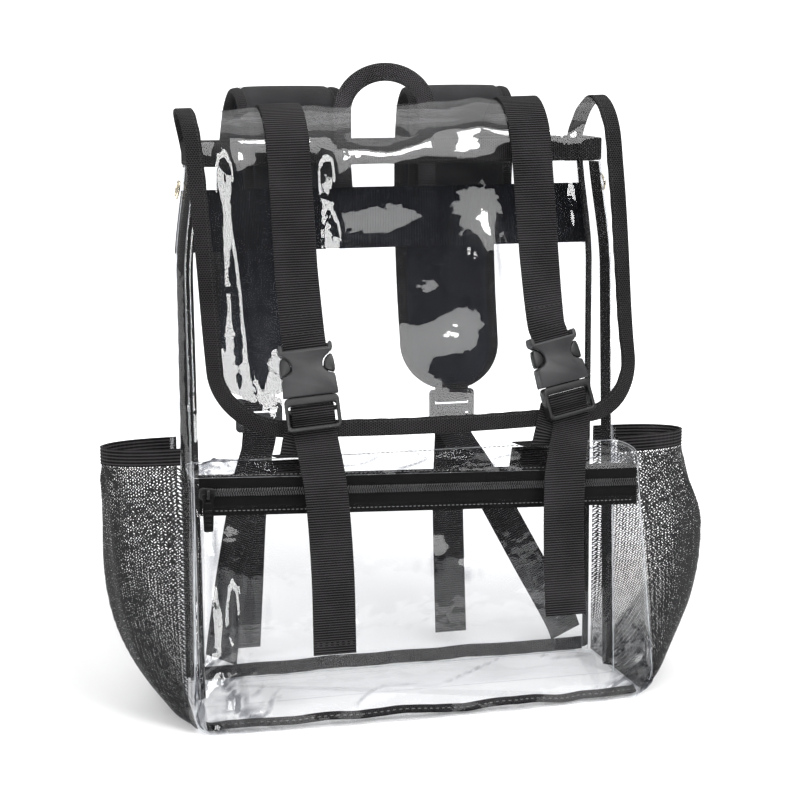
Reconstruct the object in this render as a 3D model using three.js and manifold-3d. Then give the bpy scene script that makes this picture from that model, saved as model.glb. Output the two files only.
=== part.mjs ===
// Clear flap-top backpack: PVC sheets, bound seams, webbing, buckles, a zipped pocket and mesh side pockets.
// Millimetres, +Z up, front towards -Y, standing on Z = 0.
import * as THREE from 'three';
import { mergeVertices } from 'three/addons/utils/BufferGeometryUtils.js';
import Module from 'manifold-3d';

const wasm = await Module();
wasm.setup();
const { lerp, clamp, smoothstep, degToRad } = THREE.MathUtils;
const vec = (x, y, z) => new THREE.Vector3(x, y, z);

// Driving sizes
const MIDDLE = { x: 2.52, y: 29 }; // where the origin lies in the drawing
const GAP = 0.3; // clearance between neighbouring pieces
const PVC = 1; // clear sheet
const TAPE = 1.6; // binding tape
const WEB = 1.2; // webbing thickness
const WEB_WIDTH = 30; // flap straps and lower straps
const BODY = {
  half: 158, rimHalf: 149.5, rimZ: 392, footZ: 1.7,
  frontFoot: -16, frontRim: 12, backFoot: 45, backRim: 53,
  corner: 9, bulge: [3, 9, 3, 9], // front, right, back, left
};
const BASE = { thick: 1.2 };
const RIM = { height: 15 };
const SEAM = { width: 10, thick: 2, footZ: 6, topZ: 374 };
const BACK_BAND = { footZ: 314, topZ: 358, thick: 1.5 };
const POCKET = {
  halfFoot: 169, halfTop: 163, frontFoot: -69, frontTop: -46, bulgeFoot: 9, bulgeTop: 2,
  corner: 10, topZ: 150, rearZ: 175.5, crown: 3,
};
const ZIP = { z: 158, tilt: -0.033, teeth: 6, teethThick: 2.4, tape: 6.4, tapeThick: 0.9, half: 157 };
const MESH = {
  footZ: 2.2, band: 12.5, roundZ: 150, taper: 3.5, thick: 1.2, bandThick: 2, grip: 0.2, leaveZ: 118, seamZ: 172,
  left: { topZ: 184, out: 54 }, right: { topZ: 176, out: 59 },
};
const FLAP = { half: 157, corner: 46, binding: 12, bindingThick: 2, ridge: 58, skew: 16, curl: 26, tilt: 3.5, seamHalf: 148 };
const BUCKLE = { length: 61, half: 19, thick: 9, lift: 5, above: 5, slotY: 25.8 };
const EYELET = { z: 360, inner: 4, outer: 6.8, thick: 2 };
const HANDLE = { half: 38, width: 13, springZ: 412, rise: 34, footZ: 358, frontY: 58.4, thick: 4 };
const PAD = { thick: 7, width: 80, round: 36 };
const LOCK = { half: 18, height: 26, thick: 5, y: 128, topZ: 193.6 };
const STRAP_WEB = 25; // shoulder webbing width

// The two straps of the flap: place across at the ridge, drift on the way down, lean of the buckle,
// turn of the lower strap behind it, anchor and end of the tail
const STRAPS = {
  left: { x: -84.5, drift: -9, lean: 6, turn: 19, anchorX: -86, tailX: -70, tailZ: 51 },
  right: { x: 89.5, drift: -5.5, lean: 9, turn: 30, anchorX: 91, tailX: 96, tailZ: 66 },
};
const SIDES = { left: -1, right: 1 };

// Side view of the flap, from its seam on the back over the top to its front edge
const FLAP_PROFILE = [
  { y: 57.2, z: 374 }, { y: 57.2, z: 392 }, { y: 50, z: 410 }, { y: 32, z: 418.5 }, { y: 17, z: 412.5 },
  { y: 6, z: 398 }, { y: 1, z: 370 }, { y: -7, z: 320 }, { y: -17, z: 270 }, { y: -29, z: 230 },
  { y: -42.5, z: 194.5 },
];

// Side view of a shoulder pad, from its seam on the back band over its fold to its hanging end
const PAD_PROFILE = [
  { y: 59.7, z: 317 }, { y: 60.8, z: 335 }, { y: 66.6, z: 357 }, { y: 67, z: 394 }, { y: 74, z: 418 },
  { y: 92, z: 426 }, { y: 111, z: 416 }, { y: 124, z: 384 }, { y: 132, z: 335 }, { y: 134, z: 280 },
  { y: 131, z: 235 }, { y: 128, z: 194 },
];

// The shoulder straps across: pad at its seam, pad at its end, webbing at the foot and end of the tail
const SHOULDERS = {
  left: { seamX: -60, endX: -82, footX: -128, tailX: -103 },
  right: { seamX: 57, endX: 71, footX: 139, tailX: 60 },
};

// Materials
const clear = new THREE.MeshStandardMaterial({ color: 0xe8eef0, roughness: 0.08, transparent: true, opacity: 0.3 });
const webbing = new THREE.MeshStandardMaterial({ color: 0x211f20, roughness: 0.85 });
const binding = new THREE.MeshStandardMaterial({ color: 0x1b1a1b, roughness: 0.9 });
const felt = new THREE.MeshStandardMaterial({ color: 0x23262c, roughness: 0.95 });
const padding = new THREE.MeshStandardMaterial({ color: 0x222327, roughness: 0.92 });
const mesh = new THREE.MeshStandardMaterial({ color: 0x242425, roughness: 0.9 });
const plastic = new THREE.MeshStandardMaterial({ color: 0x3a3a3c, roughness: 0.5 });
const zipCloth = new THREE.MeshStandardMaterial({ color: 0x161617, roughness: 0.85 });
const nickel = new THREE.MeshStandardMaterial({ color: 0xb9a888, roughness: 0.35, metalness: 1 });

const pack = new THREE.Group();
function add(name, geometry, material, parent = pack) {
  const piece = new THREE.Mesh(geometry, material);
  piece.name = name;
  parent.add(piece);
  return piece;
}

// Closed sheets
const evenly = (count) => Array.from({ length: count + 1 }, (_, i) => i / count);
const STEP = 1e-4;

// A sheet of cloth: at(u, v) is its middle surface, thickened along the surface's normal.
function sheet(at, us, vs, thick, closed = false) {
  const within = (value) => (closed ? value : clamp(value, 0, 1));
  const points = [];
  for (const side of [0.5, -0.5]) {
    for (const u of us) {
      for (const v of vs) {
        const alongU = at(within(u + STEP), v).sub(at(within(u - STEP), v));
        const alongV = at(u, clamp(v + STEP, 0, 1)).sub(at(u, clamp(v - STEP, 0, 1)));
        const normal = alongU.cross(alongV).normalize();
        points.push(at(u, v).addScaledVector(normal, side * thick));
      }
    }
  }
  const rows = us.length;
  const columns = vs.length;
  const top = (i, j) => (i % rows) * columns + j;
  const under = (i, j) => top(i, j) + rows * columns;
  const faces = [];
  const quad = (a, b, c, d) => faces.push(a, b, c, a, c, d);
  const lastRow = closed ? rows : rows - 1;
  for (let i = 0; i < lastRow; i++) {
    for (let j = 0; j < columns - 1; j++) {
      quad(top(i, j), top(i + 1, j), top(i + 1, j + 1), top(i, j + 1));
      quad(under(i, j), under(i, j + 1), under(i + 1, j + 1), under(i + 1, j));
    }
    quad(top(i + 1, 0), top(i, 0), under(i, 0), under(i + 1, 0));
    quad(top(i, columns - 1), top(i + 1, columns - 1), under(i + 1, columns - 1), under(i, columns - 1));
  }
  if (!closed) {
    for (let j = 0; j < columns - 1; j++) {
      quad(top(0, j), top(0, j + 1), under(0, j + 1), under(0, j));
      quad(top(rows - 1, j + 1), top(rows - 1, j), under(rows - 1, j), under(rows - 1, j + 1));
    }
  }
  const geometry = new THREE.BufferGeometry().setFromPoints(points);
  geometry.setIndex(faces);
  geometry.computeVertexNormals();
  return geometry;
}

// A strip along a route of places, each with the direction of the strip's width.
function strip(places, width, thick, stepsEach) {
  const route = new THREE.CatmullRomCurve3(places.map(({ p }) => p), false, 'centripetal');
  const widthways = new THREE.CatmullRomCurve3(places.map(({ across }) => across), false, 'centripetal');
  const across = (u) => (u <= 0 ? places[0].across.clone() : widthways.getPoint(u)).normalize();
  const at = (u, v) => route.getPoint(u).addScaledVector(across(u), (v - 0.5) * width);
  return sheet(at, evenly((places.length - 1) * stepsEach), [0, 1], thick);
}

// Joining and cutting of plastic pieces
function solid(geometry) {
  const bare = new THREE.BufferGeometry();
  bare.setAttribute('position', geometry.getAttribute('position'));
  if (geometry.index) bare.setIndex(geometry.index);
  const merged = mergeVertices(bare, 1e-4);
  return new wasm.Manifold(new wasm.Mesh({
    numProp: 3,
    vertProperties: new Float32Array(merged.getAttribute('position').array),
    triVerts: new Uint32Array(merged.index.array),
  }));
}

function fromSolid(body) {
  const { vertProperties, triVerts, numProp } = body.getMesh();
  const geometry = new THREE.BufferGeometry();
  const positions = [];
  for (let i = 0; i < vertProperties.length; i += numProp) positions.push(...vertProperties.subarray(i, i + 3));
  geometry.setAttribute('position', new THREE.Float32BufferAttribute(positions, 3));
  geometry.setIndex(Array.from(triVerts));
  geometry.computeVertexNormals();
  return geometry;
}

const box = ({ x, y, z }) => new THREE.BoxGeometry(x[1] - x[0], y[1] - y[0], z[1] - z[0])
  .translate((x[0] + x[1]) / 2, (y[0] + y[1]) / 2, (z[0] + z[1]) / 2);

// Body, seen from above as four walls between four corners
const ARC_SHARE = 0.12; // share of a wall's steps that turns at each rounded end
const TRIM = 0.004; // share of a wall left open at its seam

function bodyPlan(z) {
  const rise = z / BODY.rimZ;
  const half = lerp(BODY.half, BODY.rimHalf, smoothstep(z, 300, BODY.rimZ));
  return { half, front: lerp(BODY.frontFoot, BODY.frontRim, rise), back: lerp(BODY.backFoot, BODY.backRim, rise) };
}

function bodyCorner(k, z) {
  const { half, front, back } = bodyPlan(z);
  const corners = [[-half, front], [half, front], [half, back], [-half, back]];
  return new THREE.Vector2(...corners[k % 4]);
}

function wallPoint(a, b, t, { roundA = 0, roundB = 0, bulge = 0 }) {
  const along = b.clone().sub(a);
  const length = along.length();
  along.divideScalar(length);
  const outward = new THREE.Vector2(along.y, -along.x);
  const arcA = roundA ? ARC_SHARE : 0;
  const arcB = roundB ? ARC_SHARE : 0;
  let run = lerp(roundA, length - roundB, (t - arcA) / (1 - arcA - arcB));
  let inward = 0;
  if (t < arcA) {
    const turn = (1 - t / arcA) * Math.PI / 4;
    run = roundA * (1 - Math.sin(turn));
    inward = roundA * (1 - Math.cos(turn));
  } else if (t > 1 - arcB) {
    const turn = (1 - (1 - t) / arcB) * Math.PI / 4;
    run = length - roundB * (1 - Math.sin(turn));
    inward = roundB * (1 - Math.cos(turn));
  }
  return a.clone().addScaledVector(along, run).addScaledVector(outward, bulge * Math.sin(Math.PI * t) - inward);
}

function wallSteps(straight) {
  const arc = evenly(3).map((share) => share * ARC_SHARE);
  const middle = evenly(straight).slice(1, -1).map((share) => lerp(ARC_SHARE, 1 - ARC_SHARE, share));
  return [...arc, ...middle, ...arc.map((share) => 1 - share).reverse()];
}

function bodyPoint(k, t, z) {
  const bulge = BODY.bulge[k % 4] * Math.sin(Math.PI * clamp(z / BODY.rimZ, 0, 1));
  return wallPoint(bodyCorner(k, z), bodyCorner(k + 1, z), t, { roundA: BODY.corner, roundB: BODY.corner, bulge });
}

// A point round the body, s from 0 to 4 in wall lengths, moved outwards.
function bodyLoop(s, z, outwards) {
  const point = (turn) => {
    const around = (turn + 4) % 4;
    return bodyPoint(Math.floor(around), around % 1, z);
  };
  const along = point(s + STEP).sub(point(s - STEP)).normalize();
  const p = point(s);
  return vec(p.x + along.y * outwards, p.y - along.x * outwards, z);
}

// Rows of a body panel, with one at the lower edge of the rim's binding
const bodyTop = BODY.rimZ - 0.6;
const rimFoot = (BODY.rimZ - RIM.height - BODY.footZ) / (bodyTop - BODY.footZ);
const bodyRows = [...evenly(8).map((share) => share * rimFoot), 1];

['front_panel', 'side_panel_right', 'back_panel', 'side_panel_left'].forEach((name, k) => {
  const at = (u, v) => {
    const z = lerp(BODY.footZ, bodyTop, v);
    const p = bodyPoint(k, lerp(TRIM, 1 - TRIM, u), z);
    return vec(p.x, p.y, z);
  };
  add(name, sheet(at, wallSteps(6), bodyRows, PVC), clear);
});

{
  const wall = wallSteps(6).slice(0, -1);
  const around = [0, 1, 2, 3].flatMap((k) => wall.map((t) => (k + t) / 4));
  const outwards = PVC / 2 + GAP + TAPE / 2;
  const at = (u, v) => bodyLoop(4 * u, BODY.rimZ - RIM.height * (1 - v), outwards);
  add('rim_binding', sheet(at, around, [0, 1], TAPE, true), binding);
}

['seam_front_left', 'seam_front_right', 'seam_back_right', 'seam_back_left'].forEach((name, k) => {
  const inward = new THREE.Vector2(k === 0 || k === 3 ? 1 : -1, k < 2 ? 1 : -1).normalize();
  const at = (u, v) => {
    const z = lerp(SEAM.footZ, SEAM.topZ, u);
    const p = bodyPoint(k, 0, z).addScaledVector(inward, PVC / 2 + GAP + SEAM.width * v);
    return vec(p.x, p.y, z);
  };
  add(name, sheet(at, evenly(8), [0, 1], SEAM.thick), binding);
});

{
  const inset = -(PVC / 2 + GAP + SEAM.thick / 2);
  const at = (u, v) => bodyLoop(lerp(2.08, 2.92, u), lerp(2.4, 2.4 + SEAM.width, v), inset);
  add('seam_base_back', sheet(at, evenly(12), [0, 1], SEAM.thick), binding);
}

{
  const outwards = PVC / 2 + 1.8 * GAP + BACK_BAND.thick / 2;
  const wall = wallSteps(6).map((t) => 2 + lerp(0.02, 0.98, t));
  const at = (u, v) => bodyLoop(u, lerp(BACK_BAND.footZ, BACK_BAND.topZ, v), outwards);
  const bent = (u, v) => at(lerp(wall[0], wall.at(-1), u), v);
  add('back_band', sheet(bent, wallSteps(6), [0, 0.5, 1], BACK_BAND.thick), felt);
}

// Front pocket: a box of clear sheet with a sloping top and a zip
const zipZ = (x) => ZIP.z + ZIP.tilt * x;
const zipY = (x) => POCKET.frontTop - POCKET.bulgeTop * (1 - (x / POCKET.halfTop) ** 2);

function pocketPlan(z) {
  const rise = z / POCKET.topZ;
  return {
    half: lerp(POCKET.halfFoot, POCKET.halfTop, rise),
    front: lerp(POCKET.frontFoot, POCKET.frontTop, rise),
    bulge: lerp(POCKET.bulgeFoot, POCKET.bulgeTop, clamp(rise, 0, 1)),
  };
}

function pocketFront(t, z) {
  const { half, front, bulge } = pocketPlan(z);
  const ends = [new THREE.Vector2(-half, front), new THREE.Vector2(half, front)];
  const p = wallPoint(...ends, t, { roundA: POCKET.corner, roundB: POCKET.corner, bulge });
  return vec(p.x, p.y, z);
}

// A side of the pocket, t from the end of the front's round corner to the body.
function pocketSide(hand, t, z) {
  const body = bodyPlan(z);
  const start = pocketFront(1, z);
  const ahead = new THREE.Vector2(start.x, start.y);
  const rear = new THREE.Vector2(body.half - 4, body.front - 0.4);
  const leaving = ahead.clone().addScalar(POCKET.corner / 2);
  const arriving = rear.clone().add(new THREE.Vector2(POCKET.corner, -2 * POCKET.corner));
  const p = new THREE.CubicBezierCurve(ahead, leaving, arriving, rear).getPoint(t);
  return vec(hand * p.x, p.y, z);
}

function pocketTopZ(x, depth) {
  const frontZ = zipZ(x) + ZIP.teeth / 2 + ZIP.tape + GAP;
  return lerp(POCKET.rearZ, frontZ, depth) + POCKET.crown * Math.sin(Math.PI * depth);
}

{
  const at = (u, v) => {
    const t = lerp(TRIM, 1 - TRIM, u);
    const x = pocketFront(t, POCKET.topZ).x;
    const topZ = zipZ(x) - ZIP.teeth / 2 - 2 * GAP - ZIP.tape - GAP;
    return pocketFront(t, lerp(BODY.footZ, topZ, v));
  };
  add('pocket_front', sheet(at, wallSteps(10), evenly(6), PVC), clear);
}

for (const [side, hand] of Object.entries(SIDES)) {
  const at = (u, v) => {
    const t = lerp(2 * TRIM, 1, u);
    const x = pocketSide(hand, t, POCKET.topZ).x;
    const topZ = pocketTopZ(x, 1 - t) - PVC - 2 * GAP;
    return pocketSide(hand, t, lerp(BODY.footZ, topZ, v));
  };
  add(`pocket_side_${side}`, sheet(at, evenly(8), evenly(5), PVC), clear);
}

{
  const rearY = bodyPlan(POCKET.rearZ).front - BODY.bulge[0] - PVC / 2 - 2 * GAP;
  const at = (u, v) => {
    const edge = pocketSide(1, 1 - v, POCKET.topZ).x + PVC / 2;
    const x = lerp(-edge, edge, u);
    const ahead = zipY(x) + ZIP.tapeThick / 2 + GAP;
    return vec(x, lerp(rearY, ahead, v), pocketTopZ(x, v));
  };
  add('pocket_top', sheet(at, evenly(14), evenly(5), PVC), clear);
}

// Zip: two tapes, the closed row of teeth, a slider and its hanging pull
function zipStrip(fromZ, toZ, thick) {
  const at = (u, v) => {
    const x = lerp(-ZIP.half, ZIP.half, u);
    return vec(x, zipY(x), zipZ(x) + lerp(fromZ, toZ, v));
  };
  return sheet(at, evenly(12), [0, 1], thick);
}

const tapeStart = ZIP.teeth / 2 + GAP;
add('zip_teeth', zipStrip(-ZIP.teeth / 2, ZIP.teeth / 2, ZIP.teethThick), zipCloth);
add('zip_tape_upper', zipStrip(tapeStart, tapeStart + ZIP.tape, ZIP.tapeThick), zipCloth);
add('zip_tape_lower', zipStrip(-tapeStart - ZIP.tape, -tapeStart, ZIP.tapeThick), zipCloth);

const SLIDER = { x: -152, length: 11, height: 8.5, thick: 2.6 };
const STAPLE = { half: 0.9, reach: 4.2, rise: 3.6, bar: 1.2 };
const PULL = { axisY: -1.5, half: 4, thick: 1.4, bar: 0.7, holeHalf: 1.7, holeEnd: 5.6, length: 26 };
{
  const slider = new THREE.Group();
  const faceY = zipY(SLIDER.x) - ZIP.teethThick / 2 - GAP - SLIDER.thick;
  slider.position.set(SLIDER.x, faceY, zipZ(SLIDER.x));
  pack.add(slider);
  const { half, reach, rise, bar } = STAPLE;
  const plate = box({
    x: [-SLIDER.length / 2, SLIDER.length / 2], y: [0, SLIDER.thick], z: [-SLIDER.height / 2, SLIDER.height / 2],
  });
  const staple = box({ x: [-half, half], y: [-reach, 0.5], z: [-rise, rise] });
  const eye = box({ x: [-2 * half, 2 * half], y: [bar - reach, 0], z: [bar - rise, rise - bar] });
  const carrier = solid(plate).add(solid(staple).subtract(solid(eye)));
  add('zip_slider', fromSolid(carrier), plastic, slider);

  const outline = new THREE.Shape()
    .moveTo(-PULL.half, PULL.bar).lineTo(-PULL.half + 1, -PULL.length + 2)
    .quadraticCurveTo(-PULL.half + 1, -PULL.length, 0, -PULL.length)
    .quadraticCurveTo(PULL.half - 1, -PULL.length, PULL.half - 1, -PULL.length + 2)
    .lineTo(PULL.half, PULL.bar).closePath();
  outline.holes.push(new THREE.Path()
    .moveTo(-PULL.holeHalf, -PULL.bar - 0.2).lineTo(PULL.holeHalf, -PULL.bar - 0.2)
    .lineTo(PULL.holeHalf, -PULL.holeEnd).lineTo(-PULL.holeHalf, -PULL.holeEnd).closePath());
  const tab = new THREE.ExtrudeGeometry(outline, { depth: PULL.thick, bevelEnabled: false, curveSegments: 4 });
  tab.translate(0, 0, -PULL.thick / 2);
  const pull = add('zip_pull', tab, zipCloth, slider);
  pull.rotation.x = Math.PI / 2;
  pull.position.y = PULL.axisY;
}

// Base: one sheet under the body and the pocket
{
  const { half, front, back } = bodyPlan(0);
  const pocket = pocketPlan(0);
  const r = BODY.corner;
  const edge = PVC / 2;
  const nose = pocket.front - pocket.bulge * 2;
  const shape = new THREE.Shape().moveTo(-half + r, back + edge).lineTo(half - r, back + edge);
  shape.quadraticCurveTo(half + edge, back + edge, half + edge, back - r).lineTo(half + edge, front);
  shape.lineTo(pocket.half + edge, pocket.front + r);
  shape.quadraticCurveTo(pocket.half + edge, pocket.front - edge, pocket.half - r, pocket.front - 3);
  shape.quadraticCurveTo(0, nose, -pocket.half + r, pocket.front - 3);
  shape.quadraticCurveTo(-pocket.half - edge, pocket.front - edge, -pocket.half - edge, pocket.front + r);
  shape.lineTo(-half - edge, front).lineTo(-half - edge, back - r);
  shape.quadraticCurveTo(-half - edge, back + edge, -half + r, back + edge);
  const floor = { depth: BASE.thick, bevelEnabled: false, curveSegments: 10 };
  add('base_panel', new THREE.ExtrudeGeometry(shape, floor), clear);
}

// Mesh side pockets, each with an elastic band at its mouth
// The front edge is sewn to the front pocket's corner and, above it, to the body's seam.
function meshPoint(side, s, z) {
  const front = pocketSide(1, MESH.grip, z).add(vec(GAP, 0, 0));
  front.lerp(bodyPoint(1, 0.08, z), smoothstep(z, MESH.leaveZ, MESH.seamZ));
  const p = front.lerp(bodyPoint(1, 0.92, z), (1 - Math.cos(Math.PI * s)) / 2);
  const low = 1 - clamp((z - MESH.footZ) / MESH.roundZ, 0, 1);
  const out = MESH[side].out * (1 - low ** MESH.taper) * Math.sin(Math.PI * clamp(s, 0, 1)) ** 0.8;
  return vec(SIDES[side] * (p.x + PVC / 2 + 2 * GAP + MESH.thick / 2 + out), p.y, z);
}

for (const side of Object.keys(SIDES)) {
  const mouthZ = MESH[side].topZ - MESH.band;
  const rows = evenly(8).map((v) => v ** 1.6);
  const wall = (u, v) => meshPoint(side, lerp(0.01, 0.99, u), lerp(MESH.footZ, mouthZ - GAP, v));
  add(`mesh_pocket_${side}`, sheet(wall, evenly(12), rows, MESH.thick), mesh);
  const band = (u, v) => meshPoint(side, lerp(0.015, 0.985, u), lerp(mouthZ, MESH[side].topZ, v));
  add(`mesh_band_${side}`, sheet(band, evenly(12), [0, 1], MESH.bandThick), webbing);
}

// Eyelets on the side panels, near the rim
for (const [side, hand] of Object.entries(SIDES)) {
  const profile = [[EYELET.inner, 0], [EYELET.outer, 0], [EYELET.outer, EYELET.thick], [EYELET.inner, EYELET.thick]];
  const points = [...profile, profile[0]].map(([r, h]) => new THREE.Vector2(r, h));
  const ring = add(`eyelet_${side}`, new THREE.LatheGeometry(points, 16), nickel);
  const wall = (z) => vec(hand * bodyPoint(1, 0.5, z).x, bodyPoint(1, 0.5, z).y, z);
  const slope = wall(EYELET.z + EYELET.outer).sub(wall(EYELET.z - EYELET.outer)).normalize();
  const outward = vec(hand, 0, 0).addScaledVector(slope, -hand * slope.x).normalize();
  ring.quaternion.setFromUnitVectors(vec(0, 1, 0), outward);
  ring.position.copy(wall(EYELET.z)).addScaledVector(outward, PVC / 2 + 1.5 * GAP);
}

// Flap, drawn flat as x across and l along from its seam, then laid over the top
const flapRoute = new THREE.CatmullRomCurve3(FLAP_PROFILE.map(({ y, z }) => vec(0, y, z)), false, 'centripetal');
flapRoute.arcLengthDivisions = 600;
const FLAP_LENGTH = flapRoute.getLength();

// Stations along the flap's straight part, close together where it turns over the top
const FLAP_STRAIGHT = FLAP_LENGTH - FLAP.corner;
const TURN_END = 96;
const flapStations = [
  ...evenly(16).map((share) => share * TURN_END),
  ...evenly(8).slice(1).map((share) => lerp(TURN_END, FLAP_STRAIGHT, share)),
];

function flapPoint(x, l) {
  const p = flapRoute.getPointAt(clamp(l / FLAP_LENGTH, 0, 1));
  const drop = smoothstep(l, FLAP.ridge, FLAP_LENGTH);
  const across = x / FLAP.half;
  p.x = x * lerp(FLAP.seamHalf / FLAP.half, 1, smoothstep(l, 0, FLAP.ridge));
  p.x += FLAP.skew * clamp((l - FLAP.ridge) / (FLAP_LENGTH - FLAP.ridge), 0, 1);
  p.y += FLAP.curl * drop * drop * across * across;
  p.z += FLAP.tilt * across * smoothstep(l, 0, FLAP.ridge) * (1 - drop);
  return p;
}

function flapFrame(x, l) {
  const right = flapPoint(x + 0.5, l).sub(flapPoint(x - 0.5, l)).normalize();
  const onward = flapPoint(x, l + 0.5).sub(flapPoint(x, l - 0.5)).normalize();
  const out = onward.cross(right).normalize();
  return { right, out, up: out.clone().cross(right) };
}

const onFlap = (x, l, lift) => flapPoint(x, l).addScaledVector(flapFrame(x, l).out, lift);

// Half the flap's width at l, for an outline moved in from the edge.
function flapHalf(l, inset) {
  const radius = FLAP.corner - inset;
  const left = Math.max(FLAP_LENGTH - inset - l, 0);
  const cut = left >= radius ? 0 : radius - Math.sqrt(radius ** 2 - (radius - left) ** 2);
  return FLAP.half - inset - cut;
}

{
  const inset = FLAP.binding + 2 * GAP;
  const length = FLAP_LENGTH - inset;
  const turn = evenly(5).slice(1).map((share) => lerp(FLAP_STRAIGHT, length, Math.sin(share * Math.PI / 2)));
  const rows = [...flapStations, ...turn].map((l) => l / length);
  const at = (u, v) => {
    const l = v * length;
    return flapPoint((2 * u - 1) * flapHalf(l, inset), l);
  };
  add('flap', sheet(at, evenly(12), rows, PVC), clear);
}

// The flap's outline in lengths: a rounded corner, the front edge and the whole way round
const OUTLINE = { arc: FLAP.corner * Math.PI / 2, front: 2 * (FLAP.half - FLAP.corner) };
OUTLINE.whole = 2 * (FLAP_STRAIGHT + OUTLINE.arc) + OUTLINE.front;

// The flap's outline moved in from the edge: down the left, along the front edge and up the right.
function flapOutline(run, inset) {
  const radius = FLAP.corner - inset;
  const mirrored = run > OUTLINE.whole / 2;
  const near = mirrored ? OUTLINE.whole - run : run;
  let x = -(FLAP.half - inset);
  let l = near;
  if (near > FLAP_STRAIGHT + OUTLINE.arc) {
    x = near - FLAP_STRAIGHT - OUTLINE.arc - OUTLINE.front / 2;
    l = FLAP_LENGTH - inset;
  } else if (near > FLAP_STRAIGHT) {
    const turn = (near - FLAP_STRAIGHT) / FLAP.corner;
    x = -(FLAP.half - FLAP.corner) - radius * Math.cos(turn);
    l = FLAP_STRAIGHT + radius * Math.sin(turn);
  }
  return flapPoint(mirrored ? -x : x, l);
}

{
  const { arc, front, whole } = OUTLINE;
  const corner = evenly(6).slice(1).map((share) => FLAP_STRAIGHT + share * arc);
  const edge = evenly(5).slice(1).map((share) => FLAP_STRAIGHT + arc + share * front / 2);
  const half = [...flapStations, ...corner, ...edge];
  const runs = [...half, ...half.slice(0, -1).map((run) => whole - run).reverse()];
  const at = (u, v) => flapOutline(u * whole, FLAP.binding * v);
  add('flap_binding', sheet(at, runs.map((run) => run / whole), [0, 1], FLAP.bindingThick), binding);
}

// Side-release buckles, drawn flat with their back on z = 0 and their upper end towards +y
function socketGeometry() {
  const outline = new THREE.Shape().moveTo(-17.6, 30.5).lineTo(-14.5, 29).lineTo(14.5, 29).lineTo(17.6, 30.5);
  outline.lineTo(17.8, 23).quadraticCurveTo(10.4, 20, 10.4, 13.5).quadraticCurveTo(10.8, 8, 18.4, 6.5);
  outline.lineTo(BUCKLE.half, -7).lineTo(-BUCKLE.half, -7).lineTo(-18.4, 6.5);
  outline.quadraticCurveTo(-10.8, 8, -10.4, 13.5).quadraticCurveTo(-10.4, 20, -17.8, 23).closePath();
  const shell = new THREE.ExtrudeGeometry(outline, { depth: BUCKLE.thick, bevelEnabled: false, curveSegments: 4 });
  const channel = box({ x: [-14.5, 14.5], y: [-8, 18], z: [2.2, 6.8] });
  const slot = box({ x: [-15.4, 15.4], y: [24.6, 27], z: [-1, BUCKLE.thick + 1] });
  return fromSolid(solid(shell).subtract(solid(channel)).subtract(solid(slot)));
}

function plugGeometry() {
  const half = BUCKLE.half;
  const frame = box({ x: [-half, half], y: [-31, -7.4], z: [0.8, 8.2] });
  const opening = box({ x: [-15.8, 15.8], y: [-25.5, -10.5], z: [0, 9] });
  const relief = box({ x: [-15.8, 15.8], y: [-32, -25], z: [0, 2.8] });
  const bar = box({ x: [-16.5, 16.5], y: [-17, -13.5], z: [1.2, 3.6] });
  let body = solid(frame).subtract(solid(opening)).subtract(solid(relief)).add(solid(bar));
  for (const hand of [-1, 1]) {
    const prong = new THREE.Shape().moveTo(hand * 8, -8.5).lineTo(hand * 13.9, -8.5).lineTo(hand * 13.9, 9);
    prong.lineTo(hand * 15.4, 12).lineTo(hand * 14.6, 16).lineTo(hand * 9.5, 17).lineTo(hand * 8, 6).closePath();
    const spring = new THREE.ExtrudeGeometry(prong, { depth: 3.8, bevelEnabled: false });
    body = body.add(solid(spring.translate(0, 0, 2.6)));
  }
  return fromSolid(body);
}

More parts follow.
